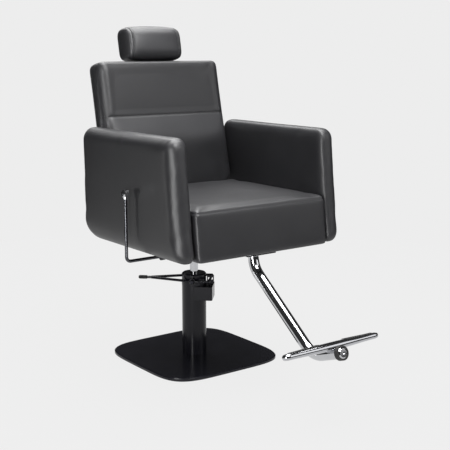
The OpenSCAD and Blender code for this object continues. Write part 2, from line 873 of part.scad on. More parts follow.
module footrest_bar() {
    soft = 4;
    color(chrome) difference() {
        hull() {
            linear_extrude(height = bar_t) bar_outline(soft);
            translate([0, 0, soft]) linear_extrude(height = bar_t - 2 * soft) bar_outline(0);
        }
        translate([0, 0, bar_seat - foot_d / 2]) rotate([90, 0, 0])
            cylinder(d = foot_d + 2 * run_gap, h = 2 * bar_w, center = true);
        both_sides() translate([0, 0, bar_t - tread_t + tread_proud])
            linear_extrude(height = tread_t) hull() tread_outline(0);
    }
}

module footrest_treads() {
    color(rubber) both_sides() translate([0, 0, bar_t - tread_t + tread_proud])
        linear_extrude(height = tread_t) hull() tread_outline(seat_gap);
}

module footrest_end_ring() {
    color(rubber) at_footrest_end() translate([0, 0, -ring_l + 3]) ring(ring_d, foot_d + 2 * run_gap, ring_l);
}

module footrest_end_cap() {
    neck = foot_d - 2 * foot_wall - 2 * run_gap;
    color(chrome) at_footrest_end() difference() {
        union() {
            translate([0, 0, -10]) cylinder(d = neck, h = 11);
            translate([0, 0, run_gap]) cylinder(d = foot_d - run_gap, h = 2);
            translate([0, 0, 2]) cylinder(d1 = foot_d - run_gap, d2 = foot_d - 8, h = 3);
        }
        translate([0, 0, 2]) cylinder(d = 9, h = 4);
    }
}

// Recline hinge, release and strut

module hinge_bracket() {
    color(black_paint) difference() {
        union() {
            box([bracket_in - 42, carcase_rear, hinge_z - bracket_half],
                [bracket_in + bracket_t, carcase_rear + 5, hinge_z + bracket_half - 6]);
            box([bracket_in, carcase_rear, hinge_z - bracket_half],
                [bracket_in + bracket_t, hinge_y, hinge_z + bracket_half - 6]);
            translate([bracket_in, hinge_y, hinge_z - 3]) rotate([0, 90, 0])
                cylinder(r = bracket_half - 3, h = bracket_t);
        }
        translate([0, hinge_y, hinge_z])
            x_rod(bracket_in - 1, bracket_in + bracket_t + 1, hinge_d + 2 * run_gap);
    }
}

module hinge_bracket_left() {
    mirror([1, 0, 0]) hinge_bracket();
}

module hinge_bracket_right() {
    hinge_bracket();
}

module hinge_pins() {
    color(steel) both_sides() translate([0, hinge_y, hinge_z]) {
        x_rod(ear_in - 3, bracket_in + bracket_t + 1, hinge_d);
        x_rod(bracket_in + bracket_t + run_gap, bracket_in + bracket_t + 4, hinge_d + 6);
    }
}

module shaft_brackets() {
    half = lever_d / 2 + 7;
    color(black_paint) for (x = [-carcase_half + 12, shaft_end - shaft_bracket_w - 4]) difference() {
        union() {
            box([x, lever_y - half, lever_z], [x + shaft_bracket_w, lever_y + half, seat_z]);
            translate([0, lever_y, lever_z]) x_rod(x, x + shaft_bracket_w, 2 * half);
        }
        translate([0, lever_y, lever_z]) x_rod(x - 1, x + shaft_bracket_w + 1, lever_d + 2 * run_gap);
    }
}

module strut_bracket() {
    half = strut_d / 2 + 6;
    y0 = strut_front + 6;
    color(black_paint) difference() {
        union() {
            box([strut_x - half, y0, strut_z], [strut_x + half, y0 + 22, seat_z]);
            translate([strut_x, y0, strut_z]) rotate([-90, 0, 0]) cylinder(r = half, h = 22);
        }
        translate([strut_x, y0 - 1, strut_z]) rotate([-90, 0, 0]) cylinder(d = strut_d + 2 * run_gap, h = 24);
    }
}

module strut_cylinder() {
    color(black_paint) translate([strut_x, strut_front, strut_z]) rotate([-90, 0, 0]) difference() {
        cylinder(d = strut_d, h = strut_l);
        translate([0, 0, 10]) cylinder(d = strut_d - 2 * strut_wall, h = strut_l - 18);
        translate([0, 0, -1]) cylinder(d = release_pin_d + 2 * run_gap, h = 20);
        cylinder(d = strut_rod_d + 2 * run_gap, h = strut_l + 1);
    }
}

module strut_rod() {
    piston_l = 14;
    piston_at = strut_front + 12 + strut_stroke;
    color(chrome) translate([strut_x, 0, strut_z]) difference() {
        union() {
            translate([0, piston_at, 0]) rotate([-90, 0, 0]) {
                cylinder(d = strut_d - 2 * strut_wall - 2 * run_gap, h = piston_l);
                cylinder(d = strut_rod_d, h = strut_rest_y - strut_eye_d / 2 - piston_at + 2);
            }
            translate([0, strut_rest_y, 0]) x_rod(-strut_eye_t / 2, strut_eye_t / 2, strut_eye_d);
        }
        translate([0, strut_rest_y, 0]) x_rod(-strut_eye_t, strut_eye_t, strut_eye_bore);
    }
}

module release_pin() {
    tip = lever_y + finger_half + pin_gap;
    color(steel) translate([strut_x, tip, strut_z]) rotate([-90, 0, 0])
        cylinder(d = release_pin_d, h = strut_front + 8 - release_travel - tip);
}

module release_lever() {
    rise = lever_h - 12;
    color(chrome) translate([lever_x, lever_y, lever_z]) {
        translate([0, 0, rise]) rotate([180, 0, 0])
            bent_rod(lever_d, [rise - lever_bend, shaft_end - lever_x - lever_bend], [lever_bend], [90]);
    }
}

module release_finger() {
    reach = lever_z - strut_z + release_pin_d / 2 + 3;
    color(steel) difference() {
        union() {
            translate([0, lever_y, lever_z])
                x_rod(strut_x - finger_w / 2, strut_x + finger_w / 2, lever_d + 8);
            box([strut_x - finger_w / 2, lever_y - finger_half, lever_z - reach],
                [strut_x + finger_w / 2, lever_y + finger_half, lever_z]);
        }
        translate([0, lever_y, lever_z]) x_rod(strut_x - finger_w, strut_x + finger_w, lever_d + 2 * run_gap);
    }
}

module release_knob() {
    knob_d = 22;
    color(chrome) translate([lever_x, lever_y, lever_z + lever_h]) difference() {
        union() {
            x_rod(-7, 7, knob_d);
            translate([-7, 0, 0]) rotate([0, -90, 0]) cylinder(d1 = knob_d, d2 = knob_d - 7, h = 3);
            translate([0, 0, -knob_d / 2 - 6]) cylinder(d = lever_d + 5, h = knob_d / 2 + 6);
        }
        translate([0, 0, -knob_d / 2 - 7]) cylinder(d = lever_d + 2 * run_gap, h = knob_d / 2 + 7 - 12);
        translate([-11, 0, 0]) x_rod(0, 7, 8);
    }
}

// Backrest

// A steel angle that carries the backrest on one side, from its hinge eye up to its bolted flange
module back_bar() {
    color(black_paint) difference() {
        at_backrest() {
            box([ear_in, -ear_half, 0], [ear_in + ear_t, ear_half, ear_h]);
            x_rod(ear_in, ear_in + ear_t, 2 * ear_half);
            box([ear_in - flange_w, flange_n, flange_start], [ear_in + eps, flange_n + flange_t, ear_h]);
        }
        translate([0, hinge_y, hinge_z]) x_rod(ear_in - 1, ear_in + ear_t + 1, hinge_d + 2 * run_gap);
        at_backrest() back_bolt_places() translate([0, flange_n - 1, 0]) rotate([-90, 0, 0])
            cylinder(d = back_bolt_hole_d, h = flange_t + 3);
    }
}

module back_bar_left() {
    mirror([1, 0, 0]) back_bar();
}

module back_bar_right() {
    back_bar();
}

module back_cross_tube() {
    color(black_paint) at_backrest() translate([0, 0, frame_tube_s]) difference() {
        x_rod(-ear_in, ear_in, frame_tube_d);
        x_rod(-ear_in - 1, ear_in + 1, frame_tube_d - 5);
    }
}

// The plate that hangs from the cross tube and works the strut
module recline_crank() {
    crank_x = strut_x - strut_eye_t / 2 - 1 - crank_t;
    pin_y = strut_rest_y - hinge_y;
    pin_z = -crank_r * cos(crank_half);
    color(black_paint) translate([0, hinge_y, hinge_z]) difference() {
        union() {
            hull() {
                translate([0, pin_y, pin_z]) x_rod(crank_x, crank_x + crank_t, crank_pin_d + 14, $fn = 32);
                rotate([-back_lean, 0, 0]) translate([0, 0, frame_tube_s])
                    x_rod(crank_x, crank_x + crank_t, frame_tube_d + 9, $fn = 32);
            }
            translate([0, pin_y, pin_z]) {
                x_rod(crank_x + 1, strut_x + strut_eye_t / 2 + 4, crank_pin_d);
                x_rod(strut_x + strut_eye_t / 2 + 1, strut_x + strut_eye_t / 2 + 4, strut_eye_bore + 3);
            }
        }
        rotate([-back_lean, 0, 0]) translate([0, 0, frame_tube_s])
            x_rod(crank_x - 1, crank_x + crank_t + 1, frame_tube_d + 2 * run_gap);
    }
}

module back_bolt_places() {
    both_sides() for (s = [flange_start + back_bolt_in, ear_h - back_bolt_in])
        translate([ear_in - flange_w / 2, 0, s]) children();
}

module backrest_core() {
    color(ply) at_backrest() difference() {
        box([-core_half, -back_core_t / 2, back_core_start],
            [core_half, back_core_t / 2, back_core_start + back_core_h]);
        back_bolt_places() rotate([90, 0, 0])
            cylinder(d = back_bolt_hole_d, h = 2 * back_core_t, center = true);
    }
}

module back_bolts() {
    head_n = flange_n + flange_t;
    color(steel) at_backrest() back_bolt_places() translate([0, head_n, 0]) rotate([90, 0, 0])
        hex_bolt(back_bolt_d, head_n + back_core_t / 2 - 2, back_bolt_head[0], back_bolt_head[1]);
}

module backrest_cushion() {
    size = [back_w, back_h, back_t];
    seam_v = back_seam - back_h / 2;
    edges = [back_edge, 16];
    half = back_h / 2;
    rows = concat(
        [for (a = [0, 30, 60]) -half + back_edge * (1 - cos(a))],
        [for (i = [0 : 4]) -half + back_edge + (seam_v - 12 + half - back_edge) * i / 4],
        [seam_v - 5, seam_v, seam_v + 5],
        [for (i = [0 : 4]) seam_v + 12 + (half - back_edge - seam_v - 12) * i / 4],
        [for (a = [60, 30, 0]) half - back_edge * (1 - cos(a))]
    );
    panel = function(v) v < seam_v
        ? 12 * (1 - pow((2 * v - seam_v + half) / (seam_v + half), 2))
        : 7 * (1 - pow((2 * v - seam_v - half) / (half - seam_v), 2));
    across = function(u) 1 - pow(abs(2 * u / back_w), 4);
    color(black_vinyl) at_backrest() difference() {
        translate([0, 0, back_start + back_h / 2]) rotate([90, 0, 0]) mirror([0, 0, 1])
            pad(size, [16, 16, 20, 20], edges, pad_lines(back_w, back_edge, 6), rows,
                crown = function(p, k) k == 0 ? panel(p[1]) * across(p[0]) : 3 * swell(p, size),
                walls = 2, bulge = 2,
                warp = function(p) [p[0] * (1 - back_taper / back_w * (p[1] + half) / back_h), p[1], p[2]]);
        box([-core_half - seat_gap, -back_core_t / 2 - seat_gap, back_core_start - seat_gap],
            [core_half + seat_gap, flange_n, back_core_start + back_core_h + seat_gap]);
        both_sides() box([ear_in - flange_w - 1, -ear_half - 1, back_start - 30],
            [ear_in + ear_t + 1, ear_half + 1, ear_h + 1]);
        box([-guide_w / 2 - 1, flange_n - 1, bar_start - 2],
            [guide_w / 2 + 1, guide_n[1] + 1, back_top + 20]);
    }
}

// Headrest

module headrest_guide() {
    color(rubber) at_backrest() difference() {
        box([-guide_w / 2, guide_n[0], guide_start], [guide_w / 2, guide_n[1], back_top + 2]);
        box([-head_bar_w / 2 - run_gap * 4, bar_n - run_gap * 4, guide_start - 1],
            [head_bar_w / 2 + run_gap * 4, bar_n + head_bar_t + run_gap * 4, back_top + 3]);
    }
}

module headrest_bar() {
    color(chrome) at_backrest()
        box([-head_bar_w / 2, bar_n, bar_start], [head_bar_w / 2, bar_n + head_bar_t, head_bar_end]);
}

module headrest_core_shape(gap) {
    n0 = bar_n + head_bar_t + run_gap;
    half = head_w / 2 - head_core_end + gap;
    box([-half, n0 - gap, head_start + head_core_margin - gap],
        [half, n0 + head_core_t + gap, head_start + head_pad_h - head_core_margin + gap]);
}

module headrest_core() {
    color(ply) at_backrest() headrest_core_shape(0);
}

module headrest_pad() {
    size = [head_pad_t, head_pad_h, head_w - 8];
    color(black_vinyl) at_backrest() difference() {
        translate([0, head_back, head_start + head_pad_h / 2]) rotate([90, 0, 90])
            pad(size, [34, 30, 38, 34], [head_edge, head_edge],
                pad_lines(size[0], head_edge, 4), pad_lines(size[1], head_edge, 4),
                crown = function(p, k) 4 * swell(p, size), bulge = 4, walls = 6);
        headrest_core_shape(seat_gap);
        box([-head_bar_w / 2 - seat_gap, bar_n - seat_gap, head_start - 20],
            [head_bar_w / 2 + seat_gap, bar_n + head_bar_t + seat_gap, head_bar_end + seat_gap]);
    }
}

base_mat();
base_plate();
base_bolts();
pump_foot();
pump_casing();
cylinder_liner();
pump_head();
guide_bush();
rod_seal();
plunger_block();
trunnion_pins();
pedal_yoke();
pedal_sleeve();
pump_plunger();
piston_rod();
piston();
piston_ring();
seat_mount();
thrust_washer();
seat_bolts();
seat_carcase();
seat_cushion();
arm_pad_left();
arm_pad_right();
arm_core_left();
arm_core_right();
arm_bolts();
footrest_flange();
footrest_bolts();
footrest_tube();
at_bar() footrest_bar();
at_bar() footrest_treads();
footrest_end_ring();
footrest_end_cap();
hinge_bracket_left();
hinge_bracket_right();
hinge_pins();
shaft_brackets();
strut_bracket();
strut_cylinder();
strut_rod();
release_pin();
release_lever();
release_finger();
release_knob();
back_bar_left();
back_bar_right();
back_cross_tube();
recline_crank();
backrest_core();
back_bolts();
backrest_cushion();
headrest_guide();
headrest_bar();
headrest_core();
headrest_pad();
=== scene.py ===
"""Looks of a hydraulic barber chair: padded vinyl covers, chrome, powder coat and rubber round its frame."""

import json
import math

import bmesh
import bpy
import numpy as np
from mathutils import Matrix, Vector


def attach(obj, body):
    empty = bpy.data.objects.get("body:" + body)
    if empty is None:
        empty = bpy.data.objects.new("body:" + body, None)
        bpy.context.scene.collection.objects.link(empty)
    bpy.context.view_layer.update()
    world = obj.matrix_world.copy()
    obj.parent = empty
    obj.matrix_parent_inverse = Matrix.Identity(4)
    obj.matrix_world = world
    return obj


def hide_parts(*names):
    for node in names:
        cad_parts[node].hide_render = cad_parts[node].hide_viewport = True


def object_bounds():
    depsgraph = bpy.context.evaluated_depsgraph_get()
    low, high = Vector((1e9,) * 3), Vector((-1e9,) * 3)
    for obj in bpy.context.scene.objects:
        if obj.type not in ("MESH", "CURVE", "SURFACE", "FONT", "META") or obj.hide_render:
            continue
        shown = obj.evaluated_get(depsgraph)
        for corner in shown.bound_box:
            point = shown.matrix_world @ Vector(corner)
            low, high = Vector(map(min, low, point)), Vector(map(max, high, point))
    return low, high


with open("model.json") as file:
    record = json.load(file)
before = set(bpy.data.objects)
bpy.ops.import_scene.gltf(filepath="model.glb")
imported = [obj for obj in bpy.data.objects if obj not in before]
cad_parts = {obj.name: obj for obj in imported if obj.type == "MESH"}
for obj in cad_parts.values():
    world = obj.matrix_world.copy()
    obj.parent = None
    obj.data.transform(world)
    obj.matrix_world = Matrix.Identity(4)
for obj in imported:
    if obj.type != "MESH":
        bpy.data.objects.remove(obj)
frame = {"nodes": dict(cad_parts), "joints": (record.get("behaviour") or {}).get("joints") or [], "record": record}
cad_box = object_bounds()
scene = bpy.context.scene
MM = 0.001

# Places taken from the frame. The leaning frame has x across, y out of the rear and z up the backrest.
joints = {joint["name"]: joint for joint in frame["joints"]}
hinge = Vector(joints["recline_hinge"]["pos_m"])
rise = Vector(joints["headrest_slide"]["axis"])
leaning = Matrix.Translation(hinge) @ Matrix(
    ((1, 0, 0), (0, rise.z, rise.y), (0, -rise.y, rise.z))
).to_4x4()
upright = Matrix.Identity(4)
# The T-bar's frame has x along the bar, y towards the tube's end and z up off the tube.
FOOT_RISE = math.radians(19)
tilted = Matrix((
    (-1, 0, 0),
    (0, -math.cos(FOOT_RISE), math.sin(FOOT_RISE)),
    (0, math.sin(FOOT_RISE), math.cos(FOOT_RISE)),
)).to_4x4()
# The pedal's frame has x along its hinge and z out along the pedal.
pedal_axis = Vector(joints["pedal_hinge"]["axis"])
pedal_out = Vector((pedal_axis.y, -pedal_axis.x, 0))
treadle = Matrix((pedal_axis, pedal_out.cross(pedal_axis), pedal_out)).transposed().to_4x4()

# Sizes of the padding. A swell is what the foam adds. A pair is where a change starts and where it ends.
SKIN = 5 * MM
CLOTH_FRAMES = 20
TIGHT_BEND = 30 * MM
TIGHT_PASSES = 6
ARM_CORNERS = {
    ("front", "low"): 28 * MM,
    ("front", "top"): 30 * MM,
    ("rear", "low"): 70 * MM,
    ("rear", "top"): 40 * MM,
}
ARM_BAND = 21 * MM
ARM_BAND_EDGE = 9 * MM
ARM_EDGE_IN = 14 * MM
ARM_REAR = 7 * MM
ARM_SWELL = 3 * MM
ARM_LEAST_SWELL = 0.1 * MM
ARM_FULL = (10 * MM, 90 * MM)
ARM_LEAN = 43 * MM
ARM_TUCK = 9 * MM
ARM_TUCK_HEIGHT = 60 * MM
ARM_STAPLED = 12 * MM
SEAT_CORNER = 7 * MM
SEAT_RIM = 9 * MM
SEAT_SWELL = 4 * MM
SEAT_SIDE_SWELL = 2 * MM
SEAT_LEAN = 18 * MM
SEAT_SEAM = 12 * MM
SEAT_REAR = 12 * MM
SEAT_STAPLED = 10 * MM
SEAT_GLUED_SIDE = 4 * MM
SEAT_GLUED_TOP = 6 * MM
BACK_SEAM = 343 * MM
BACK_SWELL = 10 * MM
BACK_TOP_SWELL = 7 * MM
BACK_REAR_SWELL = 3 * MM
BACK_TAPER = 7 * MM
BACK_CORNER_LOW = 46 * MM
BACK_CORNER_TOP = 20 * MM
BACK_EDGE = 19 * MM
BACK_EDGE_REAR = 18 * MM
BACK_BORDER = 32 * MM
BACK_CROWN = 9 * MM
BACK_CROWN_DEPTH = (0, 25 * MM)
BACK_DISH = 4 * MM
BACK_DISH_EDGE = (22 * MM, 48 * MM)
BACK_DISH_FOOT = (-4 * MM, 26 * MM)
BACK_BULGE = 11 * MM
BACK_BULGE_RISE = 70 * MM
BACK_BULGE_FADE = (60 * MM, 190 * MM)
BACK_ENDS_HELD = 8 * MM
# Where the painted highlight below the back's seam rises and where it fades
BACK_PAINTED_HIGHLIGHT_RISE = (0, 8 * MM)
BACK_PAINTED_HIGHLIGHT_FADE = (55 * MM, 110 * MM)
HEAD_CORNERS = {
    ("front", "low"): 26 * MM,
    ("front", "top"): 38 * MM,
    ("rear", "low"): 30 * MM,
    ("rear", "top"): 28 * MM,
}
HEAD_SWELL = 5 * MM
HEAD_LEAST_SWELL = 0.5 * MM
HEAD_FULL = (5 * MM, 45 * MM)
HEAD_END_SWELL = 4 * MM
HEAD_END_EDGE = 9 * MM
HEAD_CAP = 20 * MM
HEAD_BARREL = 0.1
HEAD_BULGE = 11 * MM
HEAD_BULGE_DEPTH = (0, 30 * MM)
# Where the painted highlight on the headrest's front starts, in depth and in height
HEAD_PAINTED_HIGHLIGHT_DEPTH = (10 * MM, 40 * MM)
HEAD_PAINTED_HIGHLIGHT_HEIGHT = (10 * MM, 50 * MM)

# Sizes of the seams
SEAM_DEPTH = 2 * MM
SEAM_WIDTH = 3.5 * MM
BACK_SEAM_DEPTH = 1.8 * MM
BACK_SEAM_WIDTH = 4.5 * MM
BACK_SEAM_SEWN_IN = 24 * MM
BACK_SEAM_SUNK_IN = 14 * MM
BACK_PIPING_IN = 13 * MM
PIPING = 2.2 * MM
PIPING_STEP = 4 * MM
STITCH = 6 * MM
STITCH_LIFT = 0.1 * MM
STITCH_FROM_SEAM = 5 * MM
STITCH_FROM_PIPING = 7 * MM
SEAT_STITCH_DEPTH = 40 * MM
SEAT_STITCH_IN = 6 * MM

# Shares of the T-bar's half length, half width and half thickness
BAR_WAIST = (0.1, 0.9)
BAR_NARROWS = 0.42
BAR_MIDDLE = 1.45
BAR_THINS = 0.35
BAR_TIP = 0.09
BAR_FIRST_RIB = 0.3
BAR_LAST_RIB = 0.85
BAR_RIB_SPAN = 0.72
BAR_RIB_HEIGHT = 0.93
# The power that makes the T-bar's round section squarer, its ribs on each side and the half width of a rib
BAR_SQUARE = 0.75
BAR_RIBS = 12
RIB = 2.6 * MM

# Sizes of the pedal's grip
GRIP_RIBS = 7
GRIP_GROOVE = 1.2 * MM
GRIP_LIP = 0.5 * MM
GRIP_PLAIN = 4 * MM

# The camera, fitted to the photograph: metres, degrees, and millimetres of lens and sensor
CAMERA_PLACE = (-1.7776, -2.5592, 1.0380)
CAMERA_DOWN = 10.633
CAMERA_TURN = -36.711
CAMERA_LENS = 75.71
CAMERA_SENSOR = 36

# The studio
BACKDROP = "#ededed"
FLOOR_REACH = 2.2
FLOOR_GAP = 0.2 * MM
FLOOR_GLOW = 0.978
WALL_GLOW = 0.045
CEILING_GLOW = 0.06
WALL_TOP = 0.15
CEILING_EDGE = 0.7


# Camera and light


def make_camera():
    """The camera of the photograph: its height, its turn round the chair and its lens."""
    data = bpy.data.cameras.new("photo_camera")
    data.sensor_width = CAMERA_SENSOR
    data.lens = CAMERA_LENS
    camera = bpy.data.objects.new("photo_camera", data)
    camera.location = CAMERA_PLACE
    camera.rotation_euler = (math.radians(90 - CAMERA_DOWN), 0, math.radians(CAMERA_TURN))
    scene.collection.objects.link(camera)
    scene.camera = camera


def make_lamp(name, place, target, size, power, spread=180):
    """A studio lamp that faces a target. A grid in front of it can narrow its spread in degrees."""
    data = bpy.data.lights.new(name, "AREA")
    data.energy = power
    data.spread = math.radians(spread)
    data.shape = "RECTANGLE"
    data.size, data.size_y = size
    lamp = bpy.data.objects.new(name, data)
    lamp.location = place
    lamp.rotation_euler = (Vector(target) - Vector(place)).to_track_quat("-Z", "Y").to_euler()
    lamp.visible_camera = False
    scene.collection.objects.link(lamp)


# Materials


def linear(code):
    """Linear colour of an sRGB hex code."""
    parts = [int(code[i : i + 2], 16) / 255 for i in (1, 3, 5)]
    return [p / 12.92 if p <= 0.04045 else ((p + 0.055) / 1.055) ** 2.4 for p in parts] + [1]


def add(tree, kind, inputs=None, **settings):
    """Adds a node with its settings. An input that is given a socket is linked to it."""
    node = tree.nodes.new(kind)
    for name, value in settings.items():
        setattr(node, name, value)
    for name, value in (inputs or {}).items():
        if isinstance(value, bpy.types.NodeSocket):
            tree.links.new(value, node.inputs[name])
        else:
            node.inputs[name].default_value = value
    return node


def new_material(name, **constants):
    """A material with its shader, whose sockets that are the same all over are set here."""
    material = bpy.data.materials.new(name)
    material.use_nodes = True
    shader = material.node_tree.nodes["Principled BSDF"]
    for socket, value in constants.items():
        shader.inputs[socket.replace("_", " ")].default_value = value
    return material, material.node_tree, shader


def embossed_vinyl():
    """Black upholstery vinyl, embossed with a leather grain: a soft sheen, paler where it is stretched and where a
    highlight is painted.
    """
    material, tree, shader = new_material("embossed_vinyl", IOR=1.5)
    place = add(tree, "ShaderNodeTexCoord").outputs["Object"]
    # Real grain is about 1.2 mm. It is drawn at 2.5 mm, which shows from a step away.
    grain = add(tree, "ShaderNodeTexVoronoi", {"Vector": place, "Scale": 1 / (2.5 * MM)})
    cloud = add(tree, "ShaderNodeTexNoise", {"Vector": place, "Scale": 1 / (90 * MM), "Detail": 3})
    # The attribute holds how stretched the cover is plus a painted highlight on the headrest's front and below the
    # back's seam; both mix the base towards a paler grey.
    rub_and_painted_highlight = add(tree, "ShaderNodeAttribute", attribute_name="stretch_and_painted_highlight")
    tone = add(tree, "ShaderNodeMix", {
        0: cloud.outputs["Fac"], 6: linear("#18181a"), 7: linear("#1e1e20"),
    }, data_type="RGBA")
    worn_and_painted_highlight = add(tree, "ShaderNodeMix", {
        0: rub_and_painted_highlight.outputs["Fac"], 6: tone.outputs[2], 7: linear("#28282a"),
    }, data_type="RGBA")
    gloss = add(tree, "ShaderNodeMapRange", {"Value": cloud.outputs["Fac"], "To Min": 0.36, "To Max": 0.48})
    folds = add(tree, "ShaderNodeTexNoise", {"Vector": place, "Scale": 1 / (60 * MM), "Detail": 2})
    slack = add(tree, "ShaderNodeBump", {
        "Height": folds.outputs["Fac"], "Strength": 0.1, "Distance": 2 * MM,
    })
    bump = add(tree, "ShaderNodeBump", {
        "Height": grain.outputs["Distance"], "Strength": 0.25, "Distance": 0.25 * MM,
        "Normal": slack.outputs["Normal"],
    })
    tree.links.new(worn_and_painted_highlight.outputs[2], shader.inputs["Base Color"])
    tree.links.new(gloss.outputs["Result"], shader.inputs["Roughness"])
    tree.links.new(bump.outputs["Normal"], shader.inputs["Normal"])
    return material


def powder_coat():
    """Black powder coat on steel: satin, with a fine orange peel."""
    material, tree, shader = new_material("black_powder_coat", IOR=1.5, Specular_IOR_Level=0.24)
    place = add(tree, "ShaderNodeTexCoord").outputs["Object"]
    peel = add(tree, "ShaderNodeTexNoise", {"Vector": place, "Scale": 1 / (1.6 * MM), "Detail": 2})
    cloud = add(tree, "ShaderNodeTexNoise", {"Vector": place, "Scale": 1 / (70 * MM), "Detail": 4})
    tone = add(tree, "ShaderNodeMix", {
        0: cloud.outputs["Fac"], 6: linear("#111115"), 7: linear("#18181d"),
    }, data_type="RGBA")
    gloss = add(tree, "ShaderNodeMapRange", {"Value": cloud.outputs["Fac"], "To Min": 0.17, "To Max": 0.24})
    bump = add(tree, "ShaderNodeBump", {
        "Height": peel.outputs["Fac"], "Strength": 0.2, "Distance": 0.12 * MM,
    })
    tree.links.new(tone.outputs[2], shader.inputs["Base Color"])
    tree.links.new(gloss.outputs["Result"], shader.inputs["Roughness"])
    tree.links.new(bump.outputs["Normal"], shader.inputs["Normal"])
    return material


def plated(name, pale, dark, low, high):
    """Plated or polished metal: a mirror with faint smears from handling."""
    material, tree, shader = new_material(name, Metallic=1.0)
    place = add(tree, "ShaderNodeTexCoord").outputs["Object"]
    smear = add(tree, "ShaderNodeTexNoise", {"Vector": place, "Scale": 1 / (25 * MM), "Detail": 5})
    tone = add(tree, "ShaderNodeMix", {
        0: smear.outputs["Fac"], 6: linear(pale), 7: linear(dark),
    }, data_type="RGBA")
    gloss = add(tree, "ShaderNodeMapRange", {"Value": smear.outputs["Fac"], "To Min": low, "To Max": high})
    tree.links.new(tone.outputs[2], shader.inputs["Base Color"])
    tree.links.new(gloss.outputs["Result"], shader.inputs["Roughness"])
    return material


def moulded(name, pale, dark, grit, low, high):
    """Moulded rubber or plastic: matte, with the fine grit of the mould."""
    material, tree, shader = new_material(name, IOR=1.5)
    place = add(tree, "ShaderNodeTexCoord").outputs["Object"]
    spark = add(tree, "ShaderNodeTexNoise", {"Vector": place, "Scale": 1 / grit, "Detail": 3})
    tone = add(tree, "ShaderNodeMix", {
        0: spark.outputs["Fac"], 6: linear(dark), 7: linear(pale),
    }, data_type="RGBA")
    gloss = add(tree, "ShaderNodeMapRange", {"Value": spark.outputs["Fac"], "To Min": low, "To Max": high})
    bump = add(tree, "ShaderNodeBump", {
        "Height": spark.outputs["Fac"], "Strength": 0.3, "Distance": 0.1 * MM,
    })
    tree.links.new(tone.outputs[2], shader.inputs["Base Color"])
    tree.links.new(gloss.outputs["Result"], shader.inputs["Roughness"])
    tree.links.new(bump.outputs["Normal"], shader.inputs["Normal"])
    return material


def plywood(name, dark, pale):
    """Sealed birch plywood: straight grain along the seat, bare or under a stain."""
    material, tree, shader = new_material(name, IOR=1.5)
    place = add(tree, "ShaderNodeTexCoord").outputs["Object"]
    pores = (4 * MM, 90 * MM, 1.5 * MM)
    drawn = add(tree, "ShaderNodeMapping", {"Vector": place, "Scale": [1 / size for size in pores]})
    grain = add(tree, "ShaderNodeTexNoise", {"Vector": drawn.outputs["Vector"], "Scale": 1.0, "Detail": 4})
    tone = add(tree, "ShaderNodeMix", {
        0: grain.outputs["Fac"], 6: linear(dark), 7: linear(pale),
    }, data_type="RGBA")
    gloss = add(tree, "ShaderNodeMapRange", {"Value": grain.outputs["Fac"], "To Min": 0.5, "To Max": 0.65})
    tree.links.new(tone.outputs[2], shader.inputs["Base Color"])
    tree.links.new(gloss.outputs["Result"], shader.inputs["Roughness"])
    return material


def studio_floor():
    """Pale seamless paper, which glows a little so that it keeps its tone far from the lamps."""
    return new_material("studio_floor", Base_Color=linear("#1a1a1a"), Roughness=0.9, Specular_IOR_Level=0.0,
                        Emission_Color=linear(BACKDROP), Emission_Strength=FLOOR_GLOW)[0]


finishes = {
    "upholstery": embossed_vinyl(),
    "black_paint": powder_coat(),
    "chrome": plated("chrome_plate", "#c8c9cb", "#bcbdc0", 0.05, 0.10),
    "polished_alloy": plated("polished_alloy", "#bfc0c3", "#b0b1b5", 0.07, 0.13),
    "steel": plated("zinc_plated_steel", "#a9abaf", "#8f9196", 0.28, 0.42),
    "bronze": plated("oiled_bronze", "#b28c50", "#94703c", 0.25, 0.4),
    "black_rubber": moulded("moulded_rubber", "#1d1d1d", "#121212", 0.9 * MM, 0.62, 0.8),
    "black_plastic": moulded("moulded_nylon", "#242425", "#18181a", 0.6 * MM, 0.42, 0.6),
    "plywood": plywood("birch_plywood", "#8a6a42", "#c7a877"),
}
black_stain = plywood("black_stained_plywood", "#141313", "#1f1d1c")
thread = moulded("bonded_nylon_thread", "#303032", "#222224", 0.6 * MM, 0.4, 0.55)
black_oxide = plated("black_oxide_steel", "#26262a", "#17171a", 0.3, 0.45)
dark_nickel = plated("dark_nickel", "#5c5d61", "#4c4d50", 0.1, 0.2)


def finish_frame():
    """Gives every CAD node the finish of its slot."""
    for row in frame["record"]["subparts"]:
        for slot in frame["nodes"][row["node"]].material_slots:
            slot.material = finishes[row["material_slot"]]
    for node in ("trunnion_pins", "pump_plunger"):
        frame["nodes"][node].material_slots[0].material = black_oxide
    frame["nodes"]["release_lever"].material_slots[0].material = dark_nickel
    frame["nodes"]["seat_carcase"].material_slots[0].material = black_stain


# Padded covers


def span(node, into=upright):
    """Lowest and highest corner of a CAD node, in a frame of its own."""
    back = into.inverted()
    points = np.array([back @ v.co for v in frame["nodes"][node].data.vertices])
    return Vector(points.min(axis=0)), Vector(points.max(axis=0))


def block(low, high):
    """A box between two corners."""
    bm = bmesh.new()
    bmesh.ops.create_cube(bm, size=1)
    bmesh.ops.scale(bm, vec=high - low, verts=bm.verts)
    bmesh.ops.translate(bm, vec=(low + high) / 2, verts=bm.verts)
    return bm


def along(edge, axis):
    """Whether an edge runs along an axis: 0, 1 or 2."""
    run = edge.verts[1].co - edge.verts[0].co
    return abs(run[axis]) > 0.9 * run.length


def on_plane(edge, axis, level):
    """Whether an edge lies at a level of an axis."""
    return all(abs(v.co[axis] - level) < 1e-6 for v in edge.verts)


def round_edges(bm, edges, radius, segments=8):
    """Rounds edges by a radius, or cuts them flat where there is one segment."""
    bmesh.ops.bevel(bm, geom=list(edges), offset=radius, offset_type="OFFSET", segments=segments,
                    profile=0.5, affect="EDGES", material=-1, clamp_overlap=True)


